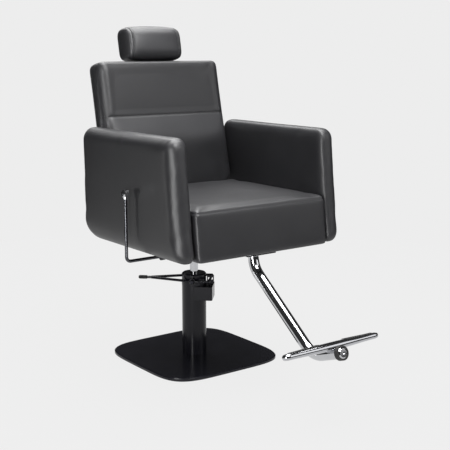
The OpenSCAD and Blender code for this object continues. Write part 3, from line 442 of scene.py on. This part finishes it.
def round_corners(bm, low, high, radii):
    """Rounds the four corners of a block that run across the chair, each by its own radius."""
    for (depth, height), radius in radii.items():
        front = depth == "front"
        top = height == "top"
        corner = [e for e in bm.edges if along(e, 0)
                  and on_plane(e, 1, low.y if front else high.y)
                  and on_plane(e, 2, high.z if top else low.z)]
        round_edges(bm, corner, radius, 10)


def new_piece(name, mesh, body, slot, finish=None):
    """An object at the origin that rides on a body."""
    piece = bpy.data.objects.new(name, mesh)
    scene.collection.objects.link(piece)
    mesh.materials.clear()
    mesh.materials.append(finish or finishes[slot])
    mesh.shade_smooth()
    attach(piece, body)
    return piece


def to_mesh(name, bm, place=upright):
    """Ends a bmesh: merges doubles, turns its faces outwards and puts it in its place."""
    bmesh.ops.remove_doubles(bm, verts=bm.verts, dist=1e-6)
    bmesh.ops.recalc_face_normals(bm, faces=bm.faces)
    bmesh.ops.transform(bm, matrix=place, verts=bm.verts)
    mesh = bpy.data.meshes.new(name)
    bm.to_mesh(mesh)
    bm.free()
    return mesh


def baked(piece):
    """The mesh of an object with its modifiers applied."""
    return bpy.data.meshes.new_from_object(piece.evaluated_get(bpy.context.evaluated_depsgraph_get()))


def apply_modifiers(piece):
    """Makes what the modifiers show the object's own mesh."""
    mesh = baked(piece)
    piece.modifiers.clear()
    old = piece.data
    piece.data = mesh
    bpy.data.meshes.remove(old)


def relax(piece, passes):
    """Evens out the steps of a skin."""
    even = bmesh.new()
    even.from_mesh(piece.data)
    for _ in range(passes):
        bmesh.ops.smooth_vert(even, verts=even.verts, factor=0.5,
                              use_axis_x=True, use_axis_y=True, use_axis_z=True)
    even.to_mesh(piece.data)
    even.free()


def cover(name, bm, body, node, place=upright, cut=None):
    """A blank of a padded cover: an even skin of small squares over a rounded block."""
    piece = new_piece(name, to_mesh(name, bm, place), body, "upholstery")
    if cut is not None:
        tool = bpy.data.objects.new("cut", to_mesh("cut", cut))
        scene.collection.objects.link(tool)
        piece.modifiers.new("cut", "BOOLEAN").object = tool
        apply_modifiers(piece)
        bpy.data.objects.remove(tool)
    remesh = piece.modifiers.new("skin", "REMESH")
    remesh.mode = "VOXEL"
    remesh.voxel_size = SKIN
    apply_modifiers(piece)
    relax(piece, passes=4)
    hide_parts(node)
    return piece


def points_of(mesh, field="co"):
    """Places of a mesh's points, or their normals."""
    values = np.empty(3 * len(mesh.vertices))
    mesh.vertices.foreach_get(field, values)
    return values.reshape(-1, 3)


def set_points(mesh, points):
    """Moves a mesh's points to new places."""
    mesh.vertices.foreach_set("co", points.ravel())
    mesh.update()


def carried(points, place):
    """Points of a frame of its own, in the chair's frame."""
    matrix = np.array(place)
    return points @ matrix[:3, :3].T + matrix[:3, 3]


def inside_frame(piece, place):
    """Points of a piece in a frame of its own."""
    return carried(points_of(piece.data), place.inverted())


def hold(piece, still):
    """Marks the points of a cover that are sewn or stapled down, and starts its cloth."""
    group = piece.vertex_groups.new(name="sewn")
    group.add([int(i) for i in np.flatnonzero(still)], 1.0, "REPLACE")
    cloth = piece.modifiers.new("stuffing", "CLOTH")
    cloth.point_cache.frame_start = 1
    cloth.point_cache.frame_end = CLOTH_FRAMES
    cloth.settings.vertex_group_mass = group.name
    cloth.settings.use_pressure = True
    cloth.settings.uniform_pressure_force = 4
    cloth.settings.tension_stiffness = 25
    cloth.settings.compression_stiffness = 25
    cloth.settings.shear_stiffness = 15
    cloth.settings.bending_stiffness = 4
    cloth.settings.air_damping = 4
    cloth.settings.effector_weights.gravity = 0
    cloth.collision_settings.use_collision = False


def stuff(caps):
    """Presses the foam into all the covers at once. No point moves further than its cap."""
    starts = {piece: points_of(piece.data) for piece in caps}
    for step in range(1, CLOTH_FRAMES + 1):
        scene.frame_set(step)
    for piece, cap in caps.items():
        moved = baked(piece)
        travel = points_of(moved) - starts[piece]
        length = np.linalg.norm(travel, axis=1, keepdims=True)
        limit = np.reshape(cap, (-1, 1))
        piece.modifiers.clear()
        piece.vertex_groups.clear()
        set_points(piece.data, starts[piece] + travel / (length + 1e-9) * limit * np.tanh(length / limit))
        bpy.data.meshes.remove(moved)
    scene.frame_set(1)


def mark_stretch_and_painted_highlight(mesh, painted_highlight):
    """Keeps, for each point, how stretched the cover is where it bends outwards, plus the painted highlight that
    is given.
    """
    points = points_of(mesh)
    normals = points_of(mesh, "normal")
    ends = np.empty(2 * len(mesh.edges), dtype=int)
    mesh.edges.foreach_get("vertices", ends)
    a, b = ends.reshape(-1, 2).T
    run = points[b] - points[a]
    length = np.linalg.norm(run, axis=1) + 1e-9
    bend = np.zeros(len(points))
    count = np.zeros(len(points))
    for here, sign in ((a, -1), (b, 1)):
        np.add.at(bend, here, sign * np.einsum("ij,ij->i", run, normals[here]) / length**2)
        np.add.at(count, here, 1)
    bend /= np.maximum(count, 1)
    for _ in range(TIGHT_PASSES):
        total = np.zeros(len(points))
        np.add.at(total, a, bend[b])
        np.add.at(total, b, bend[a])
        bend = 0.5 * bend + 0.5 * total / np.maximum(count, 1)
    # Stretch from bending, plus the painted highlight.
    stretch_and_highlight = np.clip(bend * TIGHT_BEND + painted_highlight, 0, 1)
    mesh.attributes.new("stretch_and_painted_highlight", "FLOAT", "POINT").data.foreach_set("value", stretch_and_highlight)


def refine(piece, painted_highlight):
    """Marks where the cover is stretched and where a highlight is painted, and divides the skin once."""
    mark_stretch_and_painted_highlight(piece.data, painted_highlight)
    finer = piece.modifiers.new("finer", "SUBSURF")
    finer.levels = finer.render_levels = 1
    apply_modifiers(piece)
    piece.data.shade_smooth()


def smooth(value, start, end):
    """A soft step from 0 at the start to 1 at the end."""
    part = np.clip((value - start) / (end - start), 0, 1)
    return part * part * (3 - 2 * part)


def sink(piece, distance, depth, width):
    """Draws a seam into a cover, where distance says how far each point lies from it."""
    mesh = piece.data
    normals = points_of(mesh, "normal")
    pull = depth * np.exp(-((distance / width) ** 2))
    set_points(mesh, points_of(mesh) - normals * pull[:, None])


def arm(side):
    """One padded arm: a leaning slab with round corners and full edges."""
    node = "arm_pad_" + side
    low, high = span(node)
    low, high = low + Vector((ARM_SWELL, 0, 0)), high - Vector((ARM_SWELL, -ARM_REAR, 0))
    inner, outer = (high.x, low.x) if side == "left" else (low.x, high.x)
    bm = block(low, high)
    round_corners(bm, low, high, ARM_CORNERS)
    inwards = math.copysign(ARM_BAND, inner - outer)
    round_edges(bm, [e for e in bm.edges if on_plane(e, 0, inner)], ARM_EDGE_IN)
    round_edges(bm, [e for e in bm.edges if on_plane(e, 0, outer)], ARM_BAND, 1)
    for level in (outer, outer + inwards):
        round_edges(bm, [e for e in bm.edges if on_plane(e, 0, level)], ARM_BAND_EDGE)
    for v in bm.verts:
        forward = (high.y - v.co.y) / (high.y - low.y)
        v.co.y += ARM_LEAN * forward * (v.co.z - low.z) / (high.z - low.z)
    piece = cover(f"arm_cover_{side}", bm, "seat", node)
    points = points_of(piece.data)
    under = np.clip((low.z + ARM_TUCK_HEIGHT - points[:, 2]) / ARM_TUCK_HEIGHT, 0, 1)
    points[:, 0] -= ARM_TUCK * under**2 * (points[:, 0] - inner) / abs(outer - inner)
    set_points(piece.data, points)
    return piece


def seat():
    """The seat cushion: a boxed cushion over the plywood carcase, leaning with the arms in front."""
    low, high = span("seat_cushion")
    wood_low, wood_high = span("seat_carcase")
    high = high + Vector((0, SEAT_REAR, -SEAT_SWELL))
    bm = block(low, high)
    round_edges(bm, [e for e in bm.edges if along(e, 2)], SEAT_CORNER)
    round_edges(bm, [e for e in bm.edges if on_plane(e, 2, high.z)], SEAT_RIM)
    for v in bm.verts:
        forward = (high.y - v.co.y) / (high.y - low.y)
        v.co.y += SEAT_LEAN * forward * (v.co.z - low.z) / (high.z - low.z)
    gap = Vector((1, 1, 1)) * 0.5 * MM
    under = Vector((0, 0, 30 * MM))
    behind = Vector((0, 60 * MM, 0))
    hollow = block(wood_low - gap - under, wood_high + gap + behind)
    return cover("seat_cover", bm, "seat", "seat_cushion", cut=hollow)


def backrest():
    """The backrest cushion, slightly narrower at its top."""
    low, high = span("backrest_cushion", leaning)
    low = low + Vector((0, BACK_SWELL, 0))
    high = high - Vector((0, BACK_REAR_SWELL, 0))
    bm = block(low, high)
    for level, radius in ((low.z, BACK_CORNER_LOW), (high.z, BACK_CORNER_TOP)):
        round_edges(bm, [e for e in bm.edges if along(e, 1) and on_plane(e, 2, level)], radius, 10)
    round_edges(bm, [e for e in bm.edges if on_plane(e, 1, low.y)], BACK_EDGE)
    round_edges(bm, [e for e in bm.edges if on_plane(e, 1, high.y)], BACK_EDGE_REAR)
    for v in bm.verts:
        v.co.x *= 1 - BACK_TAPER / high.x * (v.co.z - low.z) / (high.z - low.z)
    return cover("backrest_cover", bm, "backrest", "backrest_cushion", leaning)


def headrest():
    """The headrest: a stuffed roll with flat, sewn-in ends and a full front."""
    low, high = span("headrest_pad", leaning)
    swell = Vector((HEAD_END_SWELL, HEAD_SWELL, 0))
    low, high = low + swell, high - swell
    bm = block(low, high)
    round_corners(bm, low, high, HEAD_CORNERS)
    for level in (low.x, high.x):
        round_edges(bm, [e for e in bm.edges if on_plane(e, 0, level)], HEAD_END_EDGE)
    piece = cover("headrest_cover", bm, "headrest", "headrest_pad", leaning)
    points = inside_frame(piece, leaning)
    middle = np.array((low + high) / 2)
    slim = 1 - HEAD_BARREL * (points[:, :1] / high.x) ** 2
    points[:, 1:] = middle[1:] + (points[:, 1:] - middle[1:]) * slim
    x, y, z = points.T
    full = (1 - (x / high.x) ** 4) * (1 - ((z - middle[2]) / (high.z - middle[2])) ** 2)
    points[:, 1] -= HEAD_BULGE * full * smooth(middle[1] - y, *HEAD_BULGE_DEPTH)
    set_points(piece.data, carried(points, leaning))
    return piece


def hold_arm(piece, side):
    """Staples an arm's cover at its foot. Returns each point's most swell."""
    low = span("arm_pad_" + side)[0]
    z = points_of(piece.data)[:, 2]
    hold(piece, z < low.z + ARM_STAPLED)
    return ARM_LEAST_SWELL + ARM_SWELL * smooth(z - low.z, *ARM_FULL)


def hold_seat(piece, seam_z):
    """Holds the seat's cover at its seam, its wood and its foot. Returns each point's most swell."""
    low = span("seat_cushion")[0]
    wood_low, wood_high = span("seat_carcase")
    x, y, z = points_of(piece.data).T
    sewn = np.abs(z - seam_z) < 0.5 * SKIN
    above = (np.abs(x) < wood_high.x + SEAT_GLUED_SIDE) & (y > wood_low.y - SEAT_GLUED_SIDE)
    glued = above & (z < wood_high.z + SEAT_GLUED_TOP)
    hold(piece, sewn | glued | (z < low.z + SEAT_STAPLED))
    return np.where(z > seam_z, SEAT_SWELL, SEAT_SIDE_SWELL)


def hold_back(piece):
    """Holds the back's cover at its seam and ends. Returns each point's most swell and its painted highlight, a
    pale band on the front below the seam.
    """
    low, high = span("backrest_cushion", leaning)
    middle = (low.y + high.y) / 2
    x, y, z = inside_frame(piece, leaning).T
    front = y < middle
    sewn = (np.abs(z - BACK_SEAM) < 0.5 * SKIN) & front & (np.abs(x) < high.x - BACK_SEAM_SEWN_IN)
    ends = (z < low.z + BACK_ENDS_HELD) | (z > high.z - BACK_ENDS_HELD)
    hold(piece, sewn | ends)
    below = BACK_SEAM - z
    swell = np.where(front, np.where(below > 0, BACK_SWELL, BACK_TOP_SWELL), BACK_REAR_SWELL)
    # A painted highlight: the lower panel's top, just below the seam, is made paler.
    painted_highlight = front * smooth(below, *BACK_PAINTED_HIGHLIGHT_RISE) * (1 - smooth(below, *BACK_PAINTED_HIGHLIGHT_FADE))
    return swell, painted_highlight


def hold_head(piece):
    """Holds the headrest's cover at its caps. Returns each point's most swell and its painted highlight, paler on
    the front and fading towards the bottom.
    """
    low, high = span("headrest_pad", leaning)
    middle = (low.y + high.y) / 2
    x, y, z = inside_frame(piece, leaning).T
    hold(piece, np.abs(np.abs(x) - (high.x - HEAD_CAP)) < 0.5 * SKIN)
    swell = HEAD_LEAST_SWELL + HEAD_SWELL * smooth(z - low.z, *HEAD_FULL)
    # A painted highlight on the headrest's front, fading out towards its bottom edge.
    painted_highlight = smooth(middle - y, *HEAD_PAINTED_HIGHLIGHT_DEPTH) * smooth(z - low.z, *HEAD_PAINTED_HIGHLIGHT_HEIGHT)
    return swell, painted_highlight


def padded_covers():
    """Makes, stuffs and sews all the padded covers."""
    arms = {side: arm(side) for side in ("left", "right")}
    cushion = seat()
    back = backrest()
    head = headrest()
    seam_z = span("seat_cushion")[1].z - SEAT_SWELL - SEAT_SEAM
    # The painted highlights of the back and the headrest
    painted_highlight = {}
    caps = {piece: hold_arm(piece, side) for side, piece in arms.items()}
    caps[cushion] = hold_seat(cushion, seam_z)
    caps[back], painted_highlight[back] = hold_back(back)
    caps[head], painted_highlight[head] = hold_head(head)
    stuff(caps)
    for piece in caps:
        relax(piece, passes=6)
        refine(piece, painted_highlight.get(piece, 0))
    shape_seams(cushion, back, head, seam_z)
    sew(cushion, back, head, seam_z)


def shape_seams(cushion, back, head, seam_z):
    """Draws in the seams and gives the back its panels."""
    z = points_of(cushion.data)[:, 2]
    sink(cushion, z - seam_z, SEAM_DEPTH, SEAM_WIDTH)
    shape_back(back)
    end = span("headrest_pad", leaning)[1].x - HEAD_CAP
    x = inside_frame(head, leaning)[:, 0]
    sink(head, np.abs(x) - end, SEAM_DEPTH, SEAM_WIDTH)


def shape_back(back):
    """Slopes the side borders, dishes the upper panel between them and fills the lower panel."""
    low, high = span("backrest_cushion", leaning)
    x, y, z = inside_frame(back, leaning).T
    middle = (low.y + high.y) / 2
    front = y < middle
    half = high.x - BACK_TAPER * (z - low.z) / (high.z - low.z)
    to_side = np.maximum(half - np.abs(x), MM)
    to_top = np.maximum(high.z - z, MM)
    inside = (to_side**-3 + to_top**-3) ** (-1 / 3)
    above = smooth(z - BACK_SEAM, *BACK_DISH_FOOT)
    below = np.maximum(BACK_SEAM - z, 0.1 * MM)
    dish = BACK_DISH * smooth(inside, *BACK_DISH_EDGE) * above
    across = 1 - np.clip(np.abs(x) / half, 0, 1) ** 4
    rising = ((below / BACK_BULGE_RISE) ** -4 + 1) ** (-1 / 4)
    bulge = BACK_BULGE * rising * (1 - smooth(below, *BACK_BULGE_FADE)) * across
    normals = points_of(back.data, "normal")
    move = np.where(front, bulge - dish, 0)
    out = np.array(leaning.to_3x3() @ Vector((0, 1, 0)))
    slope = np.clip(1 - to_side / BACK_BORDER, 0, 1) ** 2
    fall = BACK_CROWN * slope * smooth(middle - y, *BACK_CROWN_DEPTH)
    set_points(back.data, points_of(back.data) + normals * move[:, None] + out * fall[:, None])
    seamed = front & (np.abs(x) < half - BACK_SEAM_SUNK_IN)
    sink(back, np.where(seamed, z - BACK_SEAM, 1), BACK_SEAM_DEPTH, BACK_SEAM_WIDTH)


# Seams


def cut_rings(piece, point, normal):
    """Rings of points, with the cover's normals, where a plane cuts a cover."""
    bm = bmesh.new()
    bm.from_mesh(piece.data)
    everything = [*bm.verts, *bm.edges, *bm.faces]
    cut = bmesh.ops.bisect_plane(bm, geom=everything, dist=1e-7, plane_co=point, plane_no=normal)["geom_cut"]
    bm.normal_update()
    bm.edges.index_update()
    left = {e.index: e for e in cut if isinstance(e, bmesh.types.BMEdge)}
    rings = []
    while left:
        edge = left.pop(min(left))
        ring = [edge.verts[0], edge.verts[1]]
        while step := next((e for e in ring[-1].link_edges if e.index in left), None):
            left.pop(step.index)
            ring.append(step.other_vert(ring[-1]))
        rings.append(np.array([(*v.co, *v.normal) for v in ring]))
    bm.free()
    return rings


def even_steps(ring, step):
    """Places and normals at even steps along a ring."""
    walk = np.concatenate(([0], np.cumsum(np.linalg.norm(np.diff(ring[:, :3], axis=0), axis=1))))
    at = np.linspace(0, walk[-1], max(int(walk[-1] / step), 3) + 1)
    rows = np.stack([np.interp(at, walk, column) for column in ring.T], axis=1)
    return rows[:, :3], rows[:, 3:]


def welt(name, rings, body):
    """Piping sewn into a seam: a round tube along each ring."""
    curve = bpy.data.curves.new(name, "CURVE")
    curve.dimensions = "3D"
    curve.bevel_depth = PIPING
    curve.bevel_resolution = 2
    for ring in rings:
        places = even_steps(ring, PIPING_STEP)[0][:-1]
        line = curve.splines.new("POLY")
        line.points.add(len(places) - 1)
        line.points.foreach_set("co", np.c_[places, np.ones(len(places))].ravel())
        line.use_cyclic_u = True
    tube = bpy.data.objects.new(name, curve)
    scene.collection.objects.link(tube)
    mesh = baked(tube)
    bpy.data.objects.remove(tube)
    return new_piece(name, mesh, body, "upholstery")


def stitches(name, rings, keep, body):
    """A row of thread. Real stitches are 4 mm apart; these are drawn at 6 mm, so that they show."""
    bm = bmesh.new()
    half_size = (0.55 * MM, 0.38 * STITCH, 0.45 * MM)
    shape = Matrix.Diagonal((*half_size, 1))
    for ring in rings:
        places, normals = even_steps(ring, STITCH)
        for here, ahead, out in zip(places, places[1:], normals):
            middle = Vector((here + ahead) / 2)
            if not keep(middle):
                continue
            run = Vector(ahead - here).normalized()
            out = Vector(out).normalized()
            turn = Matrix((run.cross(out), run, out)).transposed().to_4x4()
            place = Matrix.Translation(middle + STITCH_LIFT * out) @ turn @ shape
            bmesh.ops.create_icosphere(bm, subdivisions=1, radius=1, matrix=place)
    return new_piece(name, to_mesh(name, bm), body, "upholstery", thread)


def sew(cushion, back, head, seam_z):
    """Piping and rows of stitches on the finished covers."""
    up = Vector((0, 0, 1))
    low, high = span("seat_cushion")
    rings = cut_rings(cushion, Vector((0, 0, seam_z - STITCH_FROM_SEAM)), up)
    rear, side = low.y + SEAT_STITCH_DEPTH, high.x - SEAT_STITCH_IN
    stitches("seat_stitches", rings, lambda p: p.y < rear and abs(p.x) < side, "seat")

    low, high = span("backrest_cushion", leaning)
    middle = (low.y + high.y) / 2
    back_of = leaning.inverted()
    rings = cut_rings(back, leaning @ Vector((0, 0, BACK_SEAM + STITCH_FROM_SEAM)), rise)
    stitches("backrest_stitches", rings, lambda p: (back_of @ p).y < middle, "backrest")
    out = (leaning.to_3x3() @ Vector((0, 1, 0))).normalized()
    near_rear = leaning @ Vector((0, high.y - BACK_PIPING_IN, BACK_SEAM))
    welt("backrest_piping", cut_rings(back, near_rear, out), "backrest")

    end = span("headrest_pad", leaning)[1].x - HEAD_CAP
    across = Vector((1, 0, 0))
    for side, sign in (("left", -1), ("right", 1)):
        welt(f"headrest_piping_{side}", cut_rings(head, across * sign * end, across), "headrest")
        rings = cut_rings(head, across * sign * (end - STITCH_FROM_PIPING), across)
        stitches(f"headrest_stitches_{side}", rings, lambda p: True, "headrest")


# Footrest and pedal


def t_bar():
    """The polished T-bar: full in the middle, thinner towards its rounded tips, with rubber ribs on top."""
    low, high = span("footrest_bar", tilted)
    middle, half = (low + high) / 2, (high - low) / 2

    def section(part):
        """Half width and half thickness at a part of the bar's half length."""
        waist = float(smooth(part, *BAR_WAIST))
        return half.y * (1 - BAR_NARROWS * waist), half.z * (BAR_MIDDLE - BAR_THINS * waist)

    bm = bmesh.new()
    lengthwise = Matrix.Rotation(math.pi / 2, 4, "Y")
    bmesh.ops.create_cone(bm, cap_ends=True, segments=40, radius1=1, radius2=1, depth=2, matrix=lengthwise)
    bmesh.ops.subdivide_edges(bm, edges=[e for e in bm.edges if along(e, 0)], cuts=47)
    for v in bm.verts:
        part = abs(v.co.x)
        wide, thick = section(part)
        tip = math.sqrt(max(0, 1 - max(0, 1 - (1 - part) / BAR_TIP) ** 2))
        full = [math.copysign(abs(c) ** BAR_SQUARE, c) for c in v.co.yz]
        v.co = middle + Vector((half.x * v.co.x, wide * tip * full[0], thick * tip * full[1]))
    bar = new_piece("t_bar", to_mesh("t_bar", bm, tilted), "seat", "polished_alloy")
    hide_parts("footrest_bar")

    bm = bmesh.new()
    for part in np.linspace(BAR_FIRST_RIB, BAR_LAST_RIB, BAR_RIBS):
        wide, thick = section(part)
        for side in (-1, 1):
            place = middle + Vector((side * part * half.x, 0, thick * BAR_RIB_HEIGHT))
            shape = Matrix.Diagonal((RIB, BAR_RIB_SPAN * wide, RIB, 1))
            bmesh.ops.create_uvsphere(bm, u_segments=12, v_segments=8, radius=1,
                                      matrix=Matrix.Translation(place) @ shape)
    ribs = new_piece("footrest_ribs", to_mesh("footrest_ribs", bm, tilted), "seat", "black_rubber")
    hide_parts("footrest_treads")


def turned(profile, place, steps=32):
    """A turned shape: a profile of radius and height spun round the z axis of a frame."""
    bm = bmesh.new()
    points = [bm.verts.new((radius, 0, height)) for radius, height in profile]
    edges = [bm.edges.new(pair) for pair in zip(points, points[1:])]
    bmesh.ops.spin(bm, geom=points + edges, cent=(0, 0, 0), axis=(0, 0, 1), angle=2 * math.pi,
                   steps=steps, use_merge=True)
    bmesh.ops.remove_doubles(bm, verts=bm.verts, dist=1e-6)
    bmesh.ops.transform(bm, matrix=place, verts=bm.verts)
    return bm


def pedal_grip():
    """The pedal's rubber grip: ribbed, with a domed end."""
    low, high = span("pedal_sleeve", treadle)
    centre = treadle @ Matrix.Translation(((low.x + high.x) / 2, (low.y + high.y) / 2, 0))
    radius = (high.x - low.x) / 2
    groove = radius - GRIP_GROOVE
    pitch = (high.z - low.z - GRIP_PLAIN) / GRIP_RIBS
    foot = [(0, low.z), (radius - 1.5 * MM, low.z)]
    ribs = []
    for i in range(GRIP_RIBS):
        start = low.z + GRIP_LIP + i * pitch
        ribs += [(groove, start), (radius, start + 0.25 * pitch),
                 (radius, start + 0.65 * pitch), (groove, start + 0.9 * pitch)]
    dome = [(radius - 1 * MM, high.z - 2.5 * MM), (radius - 3 * MM, high.z - 0.6 * MM), (0, high.z)]
    shape = turned(foot + ribs + dome, centre)
    grip = new_piece("pedal_grip", to_mesh("pedal_grip", shape), "pedal", "black_rubber")
    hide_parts("pedal_sleeve")


# Stage


def make_sky():
    """A studio with a bright ceiling and dim walls. The camera sees one even, pale backdrop."""
    world = bpy.data.worlds.new("studio")
    world.use_nodes = True
    scene.world = world
    tree = world.node_tree
    sky = tree.nodes["Background"]
    sky.inputs["Color"].default_value = linear(BACKDROP)
    way = add(tree, "ShaderNodeTexCoord").outputs["Generated"]
    height = add(tree, "ShaderNodeSeparateXYZ", {"Vector": way}).outputs["Z"]
    glow = add(tree, "ShaderNodeMapRange", {
        "Value": height, "From Min": WALL_TOP, "From Max": CEILING_EDGE,
        "To Min": WALL_GLOW, "To Max": CEILING_GLOW,
    })
    seen = add(tree, "ShaderNodeLightPath").outputs["Is Camera Ray"]
    level = add(tree, "ShaderNodeMix", {0: seen, 2: glow.outputs["Result"], 3: 1.0})
    tree.links.new(level.outputs[0], sky.inputs["Strength"])


def make_stage():
    """A pale paper floor under soft boxes."""
    bm = bmesh.new()
    bmesh.ops.create_circle(bm, cap_ends=True, segments=64, radius=FLOOR_REACH)
    bmesh.ops.translate(bm, vec=(0, 0, cad_box[0][2] - FLOOR_GAP), verts=bm.verts)
    mesh = to_mesh("floor", bm)
    mesh.materials.append(studio_floor())
    floor = bpy.data.objects.new("floor", mesh)
    scene.collection.objects.link(floor)
    make_sky()
    scene.view_settings.view_transform = "Standard"
    middle = (0, -0.1, 0.65)
    border = (-0.25, 0.2, 0.95)
    lever = (-0.32, -0.1, 0.6)
    make_lamp("overhead", (0.1, 0.0, 4.4), middle, size=(3.8, 3.8), power=460)
    make_lamp("front_top", (-0.3, -1.8, 2.4), middle, size=(1.6, 1.2), power=68)
    make_lamp("front_right", (1.9, -2.6, 1.5), middle, size=(2.0, 1.6), power=15)
    make_lamp("front_left_strip", (-2.5, -1.75, 0.6), middle, size=(0.5, 1.6), power=52)
    make_lamp("rear_top", (0.8, 1.6, 2.6), middle, size=(1.6, 1.0), power=26)
    make_lamp("rear_high", (0.0, 2.3, 2.3), middle, size=(1.6, 0.8), power=11)
    make_lamp("back_strip", (-2.7, -1.4, 1.7), border, size=(0.5, 0.7), power=0.42, spread=24)
    make_lamp("rear_left_low", (-2.4, 1.8, 0.3), lever, size=(0.45, 0.6), power=4.5)


make_camera()
finish_frame()
padded_covers()
t_bar()
pedal_grip()
make_stage()
